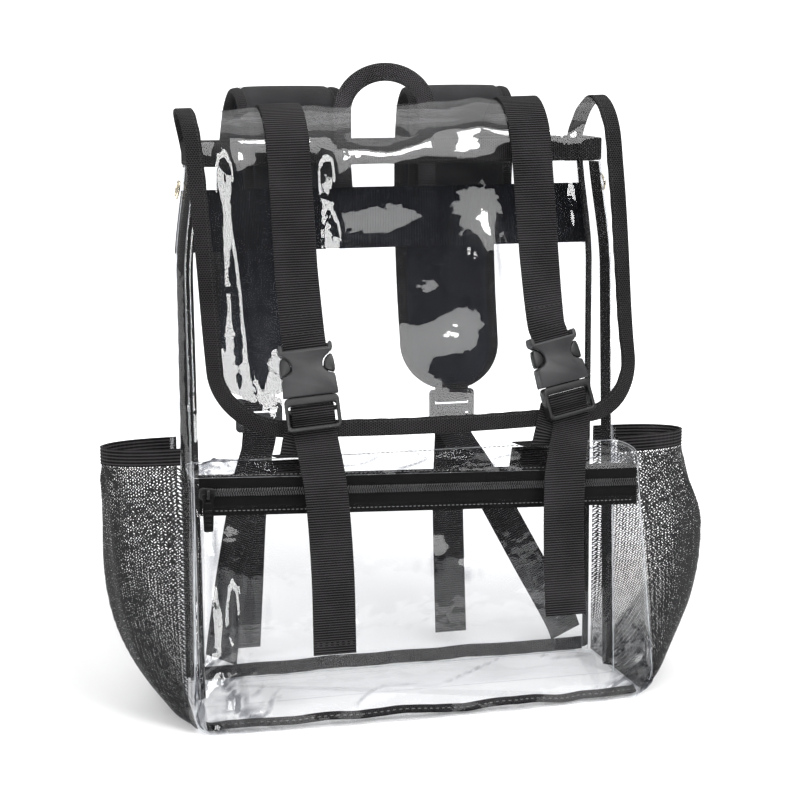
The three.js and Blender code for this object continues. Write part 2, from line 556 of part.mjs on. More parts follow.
for (const [side, strap] of Object.entries(STRAPS)) {
  const middle = FLAP_LENGTH - BUCKLE.above - BUCKLE.length / 2;
  const strapX = (l) => strap.x + strap.drift * clamp((l - FLAP.ridge) / (FLAP_LENGTH - FLAP.ridge), 0, 1);
  const lean = degToRad(strap.lean);
  const frame = flapFrame(strapX(middle), middle);
  const seat = onFlap(strapX(middle) + BUCKLE.slotY * Math.sin(lean), middle, BUCKLE.lift);
  const basis = new THREE.Matrix4().makeBasis(frame.right, frame.up, frame.out);
  basis.multiply(new THREE.Matrix4().makeRotationZ(lean));
  const inBuckle = (x, y, z) => vec(x, y, z).applyMatrix4(basis).add(seat);
  const across = vec(1, 0, 0).applyMatrix4(basis);

  for (const [name, geometry] of [['socket', socketGeometry()], ['plug', plugGeometry()]]) {
    const piece = add(`buckle_${name}_${side}`, geometry, plastic);
    piece.position.copy(seat);
    piece.quaternion.setFromRotationMatrix(basis);
  }

  // The flap strap lies on the flap and lifts to the socket's slot.
  const lift = PVC / 2 + GAP + WEB / 2;
  const on = (l, rise) => ({ p: onFlap(strapX(l), l, lift + rise), across: flapFrame(strapX(l), l).right });
  const places = flapStations.filter((l) => l < middle - 62).map((l) => on(l, 0));
  places.push(on(middle - 50, 0.8), on(middle - 38, 1.2));
  places.push({ p: inBuckle(0, BUCKLE.slotY, -WEB / 2 - 2.5 * GAP), across });
  add(`flap_strap_${side}`, strip(places, WEB_WIDTH, WEB, 1), webbing);

  // The lower strap comes up aslant behind the plug, turns over its bar and hangs down as a free tail.
  const slant = degToRad(strap.turn);
  const upRoute = [[-46, -4.2, 0.4], [-38.5, -1.2, 1], [-32, -0.9, 1], [-24, -0.9, 1]].map(([y, z, share]) => ({
    p: inBuckle((y + 14) * Math.tan(slant), y, z),
    across: vec(Math.cos(slant * share), -Math.sin(slant * share), 0).applyMatrix4(basis),
  }));
  const turnRoute = [
    [-15, -0.9], [-12.2, 0.4], [-11.8, 2.4], [-12.6, 4.4], [-15.2, 5], [-19, 4.6],
    [-22.4, 3.2], [-24.8, 1.6], [-28, 1.2], [-33, 1.3],
  ];
  const anchorY = bodyPlan(POCKET.rearZ).front - BODY.bulge[0] - PVC / 2 - 1.2;
  const level = vec(1, 0, 0);
  const lower = [
    { p: vec(strap.anchorX, anchorY, POCKET.rearZ + 2.2), across: level },
    ...upRoute,
    ...turnRoute.map(([y, z]) => ({ p: inBuckle(0, y, z), across: across.clone() })),
    { p: vec(lerp(seat.x, strap.tailX, 0.6), -58, 165), across: level },
    { p: vec(strap.tailX, -66, 110), across: level },
    { p: vec(strap.tailX, -72, strap.tailZ), across: level },
  ];
  add(`lower_strap_${side}`, strip(lower, WEB_WIDTH, WEB, 3), webbing);
}

// Handle: one folded strip bent to an arch behind the rim
{
  const inner = HANDLE.half - HANDLE.width;
  const arch = new THREE.Shape().moveTo(-HANDLE.half, HANDLE.footZ).lineTo(-HANDLE.half, HANDLE.springZ);
  arch.absellipse(0, HANDLE.springZ, HANDLE.half, HANDLE.rise, Math.PI, 0, true);
  arch.lineTo(HANDLE.half, HANDLE.footZ).lineTo(inner, HANDLE.footZ).lineTo(inner, HANDLE.springZ);
  arch.absellipse(0, HANDLE.springZ, inner, HANDLE.rise - HANDLE.width, 0, Math.PI, false);
  arch.lineTo(-inner, HANDLE.footZ).closePath();
  const bend = { depth: HANDLE.thick, bevelEnabled: false, curveSegments: 16 };
  const handle = add('handle', new THREE.ExtrudeGeometry(arch, bend), webbing);
  handle.rotation.x = Math.PI / 2;
  handle.position.y = HANDLE.frontY + HANDLE.thick;
}

// Shoulder straps: padded upper part, ladder lock, webbing to the foot and a free tail
for (const [side, { seamX, endX, footX, tailX }] of Object.entries(SHOULDERS)) {
  const route = new THREE.CatmullRomCurve3(PAD_PROFILE.map(({ y, z }) => vec(0, y, z)), false, 'centripetal');
  const length = route.getLength();
  const at = (u, v) => {
    const left = length * (1 - u);
    const cut = left >= PAD.round ? 1 : Math.sqrt(1 - 0.94 * (1 - left / PAD.round) ** 2);
    return route.getPointAt(u).setX(lerp(seamX, endX, u) + (v - 0.5) * PAD.width * cut);
  };
  const steps = [...evenly(18).map((share) => share * 0.9), 0.94, 0.97, 0.985, 1];
  add(`shoulder_pad_${side}`, sheet(at, steps, evenly(4), PAD.thick), padding);

  const frame = box({ x: [-LOCK.half, LOCK.half], y: [0, LOCK.thick], z: [-LOCK.height, 0] });
  let lock = solid(frame);
  for (const slotZ of [-10.4, -19.4]) {
    lock = lock.subtract(solid(box({ x: [-14, 14], y: [-1, LOCK.thick + 1], z: [slotZ - 2.3, slotZ + 2.3] })));
  }
  const ladder = add(`ladder_lock_${side}`, fromSolid(lock), plastic);
  ladder.position.set(endX, LOCK.y - LOCK.thick / 2, LOCK.topZ);

  const beside = LOCK.thick / 2 + GAP + WEB / 2;
  const slotZ = LOCK.topZ - 19;
  const level = vec(1, 0, 0);
  const slanted = vec(0.91, 0, Math.sign(footX) * 0.41);
  const footY = bodyPlan(14).back + PVC / 2 + 2 * GAP + WEB / 2;
  const down = [
    { p: vec(endX, LOCK.y - beside, slotZ), across: level },
    { p: vec(endX, LOCK.y - beside - 0.6, slotZ - 10), across: level },
    { p: vec(lerp(endX, footX, 0.28), 112, 128), across: slanted },
    { p: vec(lerp(endX, footX, 0.68), 80, 68), across: slanted },
    { p: vec(lerp(endX, footX, 0.96), footY + 4, 24), across: slanted },
    { p: vec(footX, footY, 15), across: slanted },
  ];
  add(`shoulder_webbing_${side}`, strip(down, STRAP_WEB, WEB, 3), webbing);
  const tail = [
    { p: vec(endX, LOCK.y + beside, slotZ), across: level },
    { p: vec(endX, LOCK.y + beside, slotZ - 10), across: level },
    { p: vec(lerp(endX, tailX, 0.4), 122, 110), across: level },
    { p: vec(lerp(endX, tailX, 0.75), 104, 50), across: level },
    { p: vec(tailX, 90, 9), across: level },
  ];
  add(`webbing_tail_${side}`, strip(tail, STRAP_WEB, WEB, 3), webbing);
}

pack.position.set(-MIDDLE.x, -MIDDLE.y, 0);
export default pack;
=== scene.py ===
"""Looks of the clear flap-top backpack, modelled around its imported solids.

Drawing places are millimetres, as in the part's source; to_frame() turns them into the frame's metres.
"""
import math
from types import SimpleNamespace as Sizes

import bmesh
import bpy
import numpy as np
from bpy.props import FloatProperty, FloatVectorProperty, PointerProperty
from mathutils import Matrix, Vector, noise


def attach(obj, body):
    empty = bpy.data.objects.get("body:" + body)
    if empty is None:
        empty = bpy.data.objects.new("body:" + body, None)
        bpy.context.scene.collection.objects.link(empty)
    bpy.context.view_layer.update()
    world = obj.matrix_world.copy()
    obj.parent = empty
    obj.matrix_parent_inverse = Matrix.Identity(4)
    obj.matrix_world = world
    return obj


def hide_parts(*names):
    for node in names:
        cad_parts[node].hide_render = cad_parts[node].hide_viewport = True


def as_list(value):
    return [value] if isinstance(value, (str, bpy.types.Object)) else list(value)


bl_info = {
    "name": "Clear Backpack",
    "version": (1, 0, 0),
    "blender": (4, 5, 0),
    "location": "View3D > Sidebar > Backpack",
    "description": "Models a clear sheet backpack around its packed solids",
    "category": "Object",
}

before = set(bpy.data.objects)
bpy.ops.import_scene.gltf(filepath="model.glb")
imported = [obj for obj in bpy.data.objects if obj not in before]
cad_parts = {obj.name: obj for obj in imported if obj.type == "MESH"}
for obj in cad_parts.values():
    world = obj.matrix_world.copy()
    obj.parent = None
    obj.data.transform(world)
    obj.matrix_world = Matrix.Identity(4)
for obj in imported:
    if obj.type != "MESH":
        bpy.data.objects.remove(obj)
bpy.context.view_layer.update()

# Driving sizes of the drawing, in millimetres
MM = 0.001
MIDDLE = Vector((2.52, 29, 0))
BODY = Sizes(
    half=158, rim_half=149.5, rim_z=392, foot_z=1.7, top_z=391.4, front_foot=-16, front_rim=12, back_foot=45,
    back_rim=53, corner=9, bulge=(3, 9, 3, 9))
RIM = Sizes(width=16, above=1)
SEAM = Sizes(width=10, corner=8, foot_z=6, top_z=376.2)
BACK_BAND = Sizes(foot_z=314, top_z=358, thick=1.5)
POCKET = Sizes(
    half_foot=169, half_top=163, front_foot=-69, front_top=-46, bulge_foot=9, bulge_top=2, corner=10,
    top_z=150, rear_z=175.5, crown=3, foot_round={-1: 15, 1: 21})
ZIP = Sizes(z=158, tilt=-0.033, teeth=6, thick=2.4, pitch=1.7, tape=6.4, hidden=6.5, half=157)
MESH = Sizes(
    foot_z=2.2, band=12.5, round_z=150, taper=3.5, thick=1.2, band_thick=2, grip=0.2, leave_z=118, seam_z=172,
    top_z={"left": 184, "right": 176}, out={"left": 54, "right": 59})
FLAP = Sizes(
    half=157, corner=46, binding=12, ridge=58, skew=16, curl=26, tilt=3.5, seam_half=148, hidden=4)
BUCKLE = Sizes(length=61, lift=5, above=5, slot_y=25.8)
EYELET = Sizes(z=360, middle=5.4)
HANDLE = Sizes(half=38, width=13, spring_z=412, rise=34, foot_z=358, y=60.4, thick=3.4)
PAD = Sizes(thick=7, width=80, round=36)
LOCK = Sizes(half=18, height=26, thick=5, y=128, top_z=193.6)
SLIDER = Sizes(x=-152, thick=2.6)
PULL = Sizes(axis_y=-1.5, half=4, thick=1.4, bar=0.7, hole_half=1.7, hole_end=5.6, length=26)
# Thickness of webbing, its width on the flap and on the shoulders, rows of a folded tape, and the usual gap
WEB = 1.2
WEB_WIDTH = 30
STRAP_WEB = 25
TAPE_ROW = 0.95
GAP = 0.3
SIDES = {"left": -1, "right": 1}
STRAPS = {
    "left": Sizes(x=-84.5, drift=-9, lean=6, turn=19, anchor_x=-86, tail_x=-70, tail_z=51),
    "right": Sizes(x=89.5, drift=-5.5, lean=9, turn=30, anchor_x=91, tail_x=96, tail_z=66),
}
SHOULDERS = {
    "left": Sizes(seam_x=-60, end_x=-82, foot_x=-128, tail_x=-103),
    "right": Sizes(seam_x=57, end_x=71, foot_x=139, tail_x=60),
}
# Side views as (y, z): the flap from its seam on the back to its front edge, and a shoulder pad
FLAP_PROFILE = (
    (57.2, 374), (57.2, 392), (50, 410), (32, 418.5), (17, 412.5), (6, 398), (1, 370), (-7, 320), (-17, 270),
    (-29, 230), (-42.5, 194.5),
)
PAD_PROFILE = (
    (59.7, 317), (60.8, 335), (66.6, 357), (67, 394), (74, 418), (92, 426), (111, 416), (124, 384),
    (132, 335), (134, 280), (131, 235), (128, 194),
)
X_AXIS, Y_AXIS, Z_AXIS = Vector((1, 0, 0)), Vector((0, 1, 0)), Vector((0, 0, 1))


# Settings

def length_setting(name, description, default):
    """A length in the frame's metres."""
    return FloatProperty(
        name=name, description=description, default=default, min=0.0, unit="LENGTH", precision=5)


def power_setting(name, description, default):
    """A lamp's power in watts."""
    return FloatProperty(name=name, description=description, default=default, min=0.0, unit="POWER")


def colour_setting(name, description, default):
    """A linear colour."""
    return FloatVectorProperty(
        name=name, description=description, default=default, size=3, min=0.0, max=1.0, subtype="COLOR")


class ClearSheetSettings(bpy.types.PropertyGroup):
    """The clear sheet of the body, flap and front pocket."""
    thickness: length_setting("Thickness", "Thickness of the clear sheet", 0.0005)
    cell: length_setting("Cell", "Size of a sheet's mesh cells", 0.0036)
    wave: length_setting("Wave", "Depth of the sheet's soft waves", 0.0016)
    tint: colour_setting("Tint", "Light that passes the sheet", (0.995, 0.996, 0.998))
    gloss: FloatProperty(
        name="Gloss", description="Share of light that a face of the sheet mirrors straight on",
        default=0.028, min=0, max=1, subtype="FACTOR")


class WebbingSettings(bpy.types.PropertyGroup):
    """Webbing, binding tape and elastic."""
    rib: length_setting("Rib", "Distance between the webbing's ribs", 0.0017)
    depth: length_setting("Rib depth", "Depth of the webbing's ribs", 0.00022)
    colour: colour_setting("Webbing", "Colour of the webbing", (0.0080, 0.0075, 0.0080))
    tape: colour_setting("Binding", "Colour of the binding tape", (0.0050, 0.0047, 0.0050))
    handle: colour_setting("Handle", "Colour of the carrying handle's tape", (0.018, 0.017, 0.018))


class PaddingSettings(bpy.types.PropertyGroup):
    """Shoulder pads and the band that they are sewn to."""
    felt: colour_setting("Felt", "Colour of the felt side", (0.0085, 0.0095, 0.0130))
    band: colour_setting("Band", "Colour of the band on the back panel", (0.0052, 0.0058, 0.0082))
    nylon: colour_setting("Nylon", "Colour of the outer cloth", (0.026, 0.026, 0.028))


class MeshSettings(bpy.types.PropertyGroup):
    """Knitted side pockets."""
    cell: length_setting("Cell", "Width of a stitch of the knit", 0.0021)
    gather: length_setting("Gather", "Depth of the pocket's gathers", 0.003)
    colour: colour_setting("Yarn", "Colour of the yarn", (0.0085, 0.0085, 0.0090))


class HardwareSettings(bpy.types.PropertyGroup):
    """Buckles, locks, eyelets and the zip's runner."""
    plastic: colour_setting("Plastic", "Colour of the moulded plastic", (0.031, 0.031, 0.0328))
    # The plugs' plastic is darker than the sockets' as painted shade for their rounded frames; the zip's
    # runner also uses it
    plug: colour_setting("Plugs", "Colour of the buckles' plugs", (0.0115, 0.0115, 0.0122))
    brass: colour_setting("Eyelets", "Colour of the plated eyelets", (0.78, 0.70, 0.55))
    coil: colour_setting("Coil", "Colour of the zip's coil", (0.005, 0.005, 0.0052))
    # The loops' lighter colour is a painted highlight for the glints on their shiny bends
    loops: colour_setting("Loops", "Colour of the coil's rubbed loops", (0.04, 0.04, 0.0415))


class StitchSettings(bpy.types.PropertyGroup):
    """Sewing thread."""
    pitch: length_setting("Pitch", "Distance from one stitch to the next", 0.0034)
    length: length_setting("Length", "Length of a stitch", 0.0025)
    thickness: length_setting("Thickness", "Thickness of the thread", 0.0005)
    colour: colour_setting("Thread", "Colour of the thread", (0.006, 0.006, 0.0065))


class StageSettings(bpy.types.PropertyGroup):
    """Floor, lights and camera."""
    floor: colour_setting("Floor", "Colour of the floor", (0.90, 0.90, 0.905))
    lens: FloatProperty(
        name="Lens", description="Focal length on a 36 mm sensor, in millimetres", default=90.0, min=1)
    key: power_setting("Key", "Power of the main softbox", 20.0)
    fill: power_setting("Fill", "Power of the side softbox", 6.0)
    spot: power_setting("Spot", "Power of the small softbox", 7.0)
    strip: power_setting("Strips", "Power of a strip beside the bag", 5.0)
    low: power_setting("Low strip", "Power of the low strip at the left", 8.0)
    top: power_setting("Top", "Power of the overhead softbox", 32.0)


# Numbers and lines

def lerp(a, b, share):
    return a + (b - a) * share


def clamp(value, low=0.0, high=1.0):
    return max(low, min(high, value))


def smoothstep(value, low, high):
    share = clamp((value - low) / (high - low))
    return share * share * (3 - 2 * share)


def to_frame(place):
    """A drawing place in millimetres as a frame place in metres."""
    return (place - MIDDLE) * MM


def running_length(points):
    """How far along a line each of its points lies."""
    steps = np.linalg.norm(np.diff(points, axis=0), axis=1)
    return np.concatenate([[0], np.cumsum(steps)])


def line_length(points):
    return float(running_length(np.array(points))[-1])


def read_table(table, lengths, run):
    """A row of a three-column table at a run along a line."""
    return Vector([float(np.interp(run, lengths, table[:, k])) for k in range(3)])


class Route:
    """A smooth line through drawing places, walked by its length; it also carries a direction across."""
    STEPS = 24

    def __init__(self, places, across=None):
        points = [Vector(p) for p in places]
        ends = [2 * points[0] - points[1], *points, 2 * points[-1] - points[-2]]
        samples = [
            self.between(ends[i:i + 4], j / self.STEPS)
            for i in range(len(points) - 1) for j in range(self.STEPS)]
        self.samples = np.array([*samples, points[-1]])
        self.lengths = running_length(self.samples)
        self.length = float(self.lengths[-1])
        spread = np.linspace(0, len(points) - 1, len(self.samples))
        given = np.array(across or [X_AXIS] * len(points))
        columns = [np.interp(spread, range(len(points)), given[:, k]) for k in range(3)]
        self.sideways = np.stack(columns, axis=1)

    @staticmethod
    def between(four, share):
        """A point of the curve through four places, spaced by the root of their distances."""
        before, start, end, after = four
        gap = max((end - start).length, 1e-8) ** 0.5
        gap_before = (start - before).length ** 0.5 or gap
        gap_after = (after - end).length ** 0.5 or gap
        leave = (start - before) / gap_before - (end - before) / (gap_before + gap) + (end - start) / gap
        reach = (end - start) / gap - (after - start) / (gap + gap_after) + (after - end) / gap_after
        leave, reach = leave * gap, reach * gap
        square, cube = share ** 2, share ** 3
        return (start * (2 * cube - 3 * square + 1) + leave * (cube - 2 * square + share)
                + end * (3 * square - 2 * cube) + reach * (cube - square))

    def at(self, run):
        return read_table(self.samples, self.lengths, run)

    def frame_at(self, run):
        """Place, direction across and direction outwards."""
        side = read_table(self.sideways, self.lengths, run).normalized()
        onward = (self.at(min(run + 0.4, self.length)) - self.at(max(run - 0.4, 0))).normalized()
        outward = onward.cross(side).normalized()
        return self.at(run), side, outward

    def frames(self, spacing):
        count = max(2, round(self.length / spacing))
        return [self.frame_at(self.length * i / count) for i in range(count + 1)]


# Body walls, front pocket, flap and mesh pockets as surfaces of the drawing

# Share of a wall's run that turns at each rounded end, and share left open at its seam
ARC_SHARE = 0.12
TRIM = 0.004


def body_plan(z):
    rise = z / BODY.rim_z
    half = lerp(BODY.half, BODY.rim_half, smoothstep(z, 300, BODY.rim_z))
    front = lerp(BODY.front_foot, BODY.front_rim, rise)
    return half, front, lerp(BODY.back_foot, BODY.back_rim, rise)


def wall_point(start, end, t, radius, bulge):
    """A point of a wall seen from above, between two corners with rounded ends."""
    along = (end - start).normalized()
    span = (end - start).length
    outward = Vector((along.y, -along.x))
    near = min(t, 1 - t)
    inward = 0.0
    if near < ARC_SHARE:
        turn = (1 - near / ARC_SHARE) * math.pi / 4
        run = radius * (1 - math.sin(turn))
        inward = radius * (1 - math.cos(turn))
        run = run if t < 0.5 else span - run
    else:
        run = lerp(radius, span - radius, (t - ARC_SHARE) / (1 - 2 * ARC_SHARE))
    return start + along * run + outward * (bulge * math.sin(math.pi * t) - inward)


def body_point(wall, t, z):
    half, front, back = body_plan(z)
    corners = [Vector((-half, front)), Vector((half, front)), Vector((half, back)), Vector((-half, back))]
    bulge = BODY.bulge[wall % 4] * math.sin(math.pi * clamp(z / BODY.rim_z))
    p = wall_point(corners[wall % 4], corners[(wall + 1) % 4], t, BODY.corner, bulge)
    return Vector((p.x, p.y, z))


def body_around(turn, z):
    """A point round the body, turn from 0 to 4 in wall lengths, and its direction outwards."""
    def point(value):
        value = (value + 4) % 4
        return body_point(int(value), value % 1, z)
    along = (point(turn + 1e-3) - point(turn - 1e-3)).normalized()
    return point(turn), Vector((along.y, -along.x, 0))


def zip_z(x):
    return ZIP.z + ZIP.tilt * x


def zip_y(x):
    return POCKET.front_top - POCKET.bulge_top * (1 - (x / POCKET.half_top) ** 2)


def pocket_half(hand, z):
    """Half the pocket's width, drawn in towards its rounded foot."""
    radius = POCKET.foot_round[hand]
    cut = 0 if z >= radius else radius - math.sqrt(radius ** 2 - (radius - z) ** 2)
    return lerp(POCKET.half_foot, POCKET.half_top, z / POCKET.top_z) - cut


def pocket_front(t, z):
    rise = z / POCKET.top_z
    front = lerp(POCKET.front_foot, POCKET.front_top, rise)
    bulge = lerp(POCKET.bulge_foot, POCKET.bulge_top, clamp(rise))
    ends = [Vector((hand * pocket_half(hand, z), front)) for hand in (-1, 1)]
    p = wall_point(*ends, t, POCKET.corner, bulge)
    return Vector((p.x, p.y, z))


def pocket_side(hand, t, z):
    """A side of the pocket, t from the end of the front's round corner to the body."""
    half, front, _ = body_plan(z)
    ahead = pocket_front((1 + hand) / 2, z).to_2d()
    ahead.x *= hand
    rear = Vector((half - 4, front - 0.4))
    leaving = ahead + Vector((POCKET.corner / 2,) * 2)
    arriving = rear + Vector((POCKET.corner, -2 * POCKET.corner))
    s = 1 - t
    p = ahead * s ** 3 + leaving * (3 * s * s * t) + arriving * (3 * s * t * t) + rear * t ** 3
    return Vector((hand * p.x, p.y, z))


def pocket_top_z(x, depth):
    front_z = zip_z(x) + ZIP.teeth / 2 + ZIP.tape + GAP
    return lerp(POCKET.rear_z, front_z, depth) + POCKET.crown * math.sin(math.pi * depth)


def pocket_top(across, depth):
    """The pocket's top, across from -1 to 1 and depth from the body to the zip."""
    x = across * (pocket_side(1, 1 - depth, POCKET.top_z).x + 0.5)
    rear_y = body_plan(POCKET.rear_z)[1] - BODY.bulge[0] - 1.1
    return Vector((x, lerp(rear_y, zip_y(x) + 0.75, depth), pocket_top_z(x, depth)))


FLAP_ROUTE = Route([(0, y, z) for y, z in FLAP_PROFILE])
FLAP_LENGTH = FLAP_ROUTE.length


def flap_point(x, run):
    p = FLAP_ROUTE.at(run)
    drop = smoothstep(run, FLAP.ridge, FLAP_LENGTH)
    across = x / FLAP.half
    p.x = x * lerp(FLAP.seam_half / FLAP.half, 1, smoothstep(run, 0, FLAP.ridge))
    p.x += FLAP.skew * clamp((run - FLAP.ridge) / (FLAP_LENGTH - FLAP.ridge))
    p.y += FLAP.curl * drop * drop * across * across
    p.z += FLAP.tilt * across * smoothstep(run, 0, FLAP.ridge) * (1 - drop)
    return p


def flap_axes(x, run):
    """Right, up and out on the flap."""
    right = (flap_point(x + 0.5, run) - flap_point(x - 0.5, run)).normalized()
    onward = (flap_point(x, run + 0.5) - flap_point(x, run - 0.5)).normalized()
    out = onward.cross(right).normalized()
    return right, out.cross(right), out


def on_flap(x, run, lift):
    return flap_point(x, run) + flap_axes(x, run)[2] * lift


def flap_half(run, inset):
    """Half the flap's width, for an outline moved in from the edge."""
    radius = FLAP.corner - inset
    left = max(FLAP_LENGTH - inset - run, 0)
    cut = 0 if left >= radius else radius - math.sqrt(radius ** 2 - (radius - left) ** 2)
    return FLAP.half - inset - cut


def flap_outline():
    """Places (x, run) round the flap's edge with the direction into the flap.

    They run down the left, along the front and up the right.
    """
    straight, half, radius = FLAP_LENGTH - FLAP.corner, FLAP.half, FLAP.corner
    left = [((-half, run), (1, 0)) for run in np.linspace(0, straight, 150)]
    for turn in np.linspace(0, math.pi / 2, 26)[1:]:
        place = (-(half - radius) - radius * math.cos(turn), straight + radius * math.sin(turn))
        left.append((place, (math.cos(turn), -math.sin(turn))))
    left += [((x, FLAP_LENGTH), (0, -1)) for x in np.linspace(-(half - radius), 0, 50)[1:]]
    right = [((-x, run), (-a, b)) for (x, run), (a, b) in left[:-1]]
    return left + right[::-1]


def strap_x(strap, run):
    return strap.x + strap.drift * clamp((run - FLAP.ridge) / (FLAP_LENGTH - FLAP.ridge))


def buckle_seat(strap):
    """Where a buckle sits: a matrix from the buckle's own drawing, back on z = 0 and upper end towards +y."""
    middle = FLAP_LENGTH - BUCKLE.above - BUCKLE.length / 2
    lean = math.radians(strap.lean)
    right, up, out = flap_axes(strap_x(strap, middle), middle)
    seat = on_flap(strap_x(strap, middle) + BUCKLE.slot_y * math.sin(lean), middle, BUCKLE.lift)
    basis = Matrix((right, up, out)).transposed().to_4x4()
    return Matrix.Translation(seat) @ basis @ Matrix.Rotation(lean, 4, "Z"), middle


def mesh_point(side, s, z):
    front = pocket_side(SIDES[side], MESH.grip, z)
    front.x = abs(front.x) + GAP
    front = front.lerp(body_point(1, 0.08, z), smoothstep(z, MESH.leave_z, MESH.seam_z))
    p = front.lerp(body_point(1, 0.985, z), (1 - math.cos(math.pi * s)) / 2)
    low = 1 - clamp((z - MESH.foot_z) / MESH.round_z)
    out = MESH.out[side] * (1 - low ** MESH.taper) * math.sin(math.pi * clamp(s)) ** 0.8
    return Vector((SIDES[side] * (p.x + 0.5 + 2 * GAP + MESH.thick / 2 + out), p.y, z))


# Waves and creases, in millimetres

def waves(x, y, seed, length):
    """Soft waves from -1 to 1 with about that length."""
    return noise.noise(Vector((x / length, y / length, seed)))


def creases(x, y, seed, length):
    """Sharp-edged folds from 0 to 1."""
    return (1 - abs(noise.noise(Vector((x / length, y / length, seed))))) ** 4


def bulged(x, y, bulges):
    """Height of soft bulges, each given as (x, y, half width, half height, depth)."""
    return sum(depth * math.exp(-((x - at_x) / wide) ** 2 - ((y - at_y) / tall) ** 2)
               for at_x, at_y, wide, tall, depth in bulges)


def edge_fade(u, v, margin_u, margin_v):
    """1 well inside a sheet and 0 at its edges."""
    return smoothstep(min(u, 1 - u), 0, margin_u) * smoothstep(min(v, 1 - v), 0, margin_v)


# Modelling helpers

def deselect():
    bpy.ops.object.select_all(action="DESELECT")


def only(piece, *others):
    """Select one object as the active one, with others where they are given, and nothing else."""
    deselect()
    for each in (piece, *others):
        each.select_set(True)
    bpy.context.view_layer.objects.active = piece
    return piece


def edit_all(piece):
    """Start to edit a piece with all of it selected."""
    only(piece)
    bpy.ops.object.mode_set(mode="EDIT")
    bpy.ops.mesh.select_all(action="SELECT")


def end_edit():
    """Turn all faces outwards and leave edit mode."""
    bpy.ops.mesh.select_all(action="SELECT")
    bpy.ops.mesh.normals_make_consistent(inside=False)
    bpy.ops.object.mode_set(mode="OBJECT")


def apply_modifier(piece, kind, **settings):
    only(piece)
    modifier = piece.modifiers.new(kind.lower(), kind)
    for name, value in settings.items():
        setattr(modifier, name, value)
    bpy.ops.object.modifier_apply(modifier=modifier.name)
    return piece


def smooth(piece, degrees=40):
    only(piece)
    bpy.ops.object.shade_smooth_by_angle(angle=math.radians(degrees))
    return piece


def dress(piece, *names):
    """Give a piece its materials in order."""
    # Clearing an empty list would still set every face to the first material
    if piece.data.materials:
        piece.data.materials.clear()
    for name in names:
        piece.data.materials.append(bpy.data.materials[name])
    return piece


def settle(piece, slot, *nodes, body="pack"):
    """Let a finished piece ride on its body, in place of CAD nodes; slot is not used."""
    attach(piece, body)
    if nodes:
        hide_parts(*nodes)
    return piece


def read_points(mesh):
    points = np.empty(len(mesh.vertices) * 3)
    mesh.vertices.foreach_get("co", points)
    return points.reshape(-1, 3)


def write_points(mesh, points):
    mesh.vertices.foreach_set("co", np.asarray(points, dtype=np.float32).ravel())
    mesh.update()


# How far apart a fold's bend is measured, in millimetres; the bend drives the clear sheet's painted crease
# shade
FOLD_STEP = 3.2


def grid_sheet(name, surface, size, cell, ripple=None):
    """A one-layer sheet from a grid, with its measured flat width and length in metres.

    surface(u, v) is a drawing place, ripple(u, v) a depth along its normal in mm, and size its rough width
    and length in mm.
    """
    deselect()
    cells = [max(4, round(length / cell)) for length in size]
    bpy.ops.mesh.primitive_grid_add(x_subdivisions=cells[0], y_subdivisions=cells[1], size=1)
    piece = bpy.context.object
    piece.name = piece.data.name = name
    mesh = piece.data
    shares = read_points(mesh)[:, :2] + 0.5
    points = np.array([to_frame(surface(u, v)) for u, v in shares])
    write_points(mesh, points)
    if ripple:
        normals = np.empty(len(mesh.vertices) * 3, dtype=np.float32)
        mesh.vertex_normals.foreach_get("vector", normals)
        depth = np.array([ripple(u, v) for u, v in shares])
        points = points + normals.reshape(-1, 3) * depth[:, None] * MM
        write_points(mesh, points)
        # Each point keeps the ripple's bend, which greys the clear sheet there: painted shade in the folds,
        # standing in for the darkening that refraction gives at creases
        crease_darkening = np.zeros(len(shares))
        for du, dv in ((FOLD_STEP / size[0], 0), (0, FOLD_STEP / size[1])):
            onward = np.array([ripple(min(u + du, 1), min(v + dv, 1)) for u, v in shares])
            before = np.array([ripple(max(u - du, 0), max(v - dv, 0)) for u, v in shares])
            crease_darkening += np.abs(onward + before - 2 * depth) / FOLD_STEP ** 2
        mesh.attributes.new("painted_crease_shade", "FLOAT", "POINT").data.foreach_set("value", crease_darkening.astype(np.float32))
    flat = []
    for along, other in ((0, 1), (1, 0)):
        middle = np.unique(shares[:, other])
        middle = middle[len(middle) // 2]
        row = np.flatnonzero(np.abs(shares[:, other] - middle) < 1e-4)
        flat.append(line_length(points[row[np.argsort(shares[row, along])]]))
    layer = mesh.uv_layers.active.data
    spread = np.empty(len(layer) * 2, dtype=np.float32)
    layer.foreach_get("uv", spread)
    layer.foreach_set("uv", (spread.reshape(-1, 2) * np.array(flat, dtype=np.float32)).ravel())
    return piece, flat


def sheet(name, slot, cad_node, grid, thickness, materials, held, rests_on, shaped=False):
    """A finished sheet in place of one CAD node, thickened by half to each side.

    grid is (surface, size, cell, ripple) for grid_sheet. shaped, meant to be set where the cut isn't a
    rectangle, is not used.
    """
    piece, flat = grid_sheet(name, *grid)
    dress(piece, *materials)
    apply_modifier(piece, "SOLIDIFY", thickness=thickness, offset=0.0, material_offset_rim=len(materials) - 1)
    settle(smooth(piece, 50), slot, cad_node)
    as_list(rests_on)


def clear_sheet(name, surface, size, ripple, held, rests_on, finer=1.0):
    """A clear sheet in place of the CAD node of that name; finer divides the size of its cells."""
    settings = bpy.context.scene.pack_clear
    grid = (surface, size, settings.cell / MM / finer, ripple)
    sheet(f"{name}_sheet", "clear_pvc", name, grid, settings.thickness, ("clear_sheet", "clear_edge"), held,
          rests_on, shaped=True)


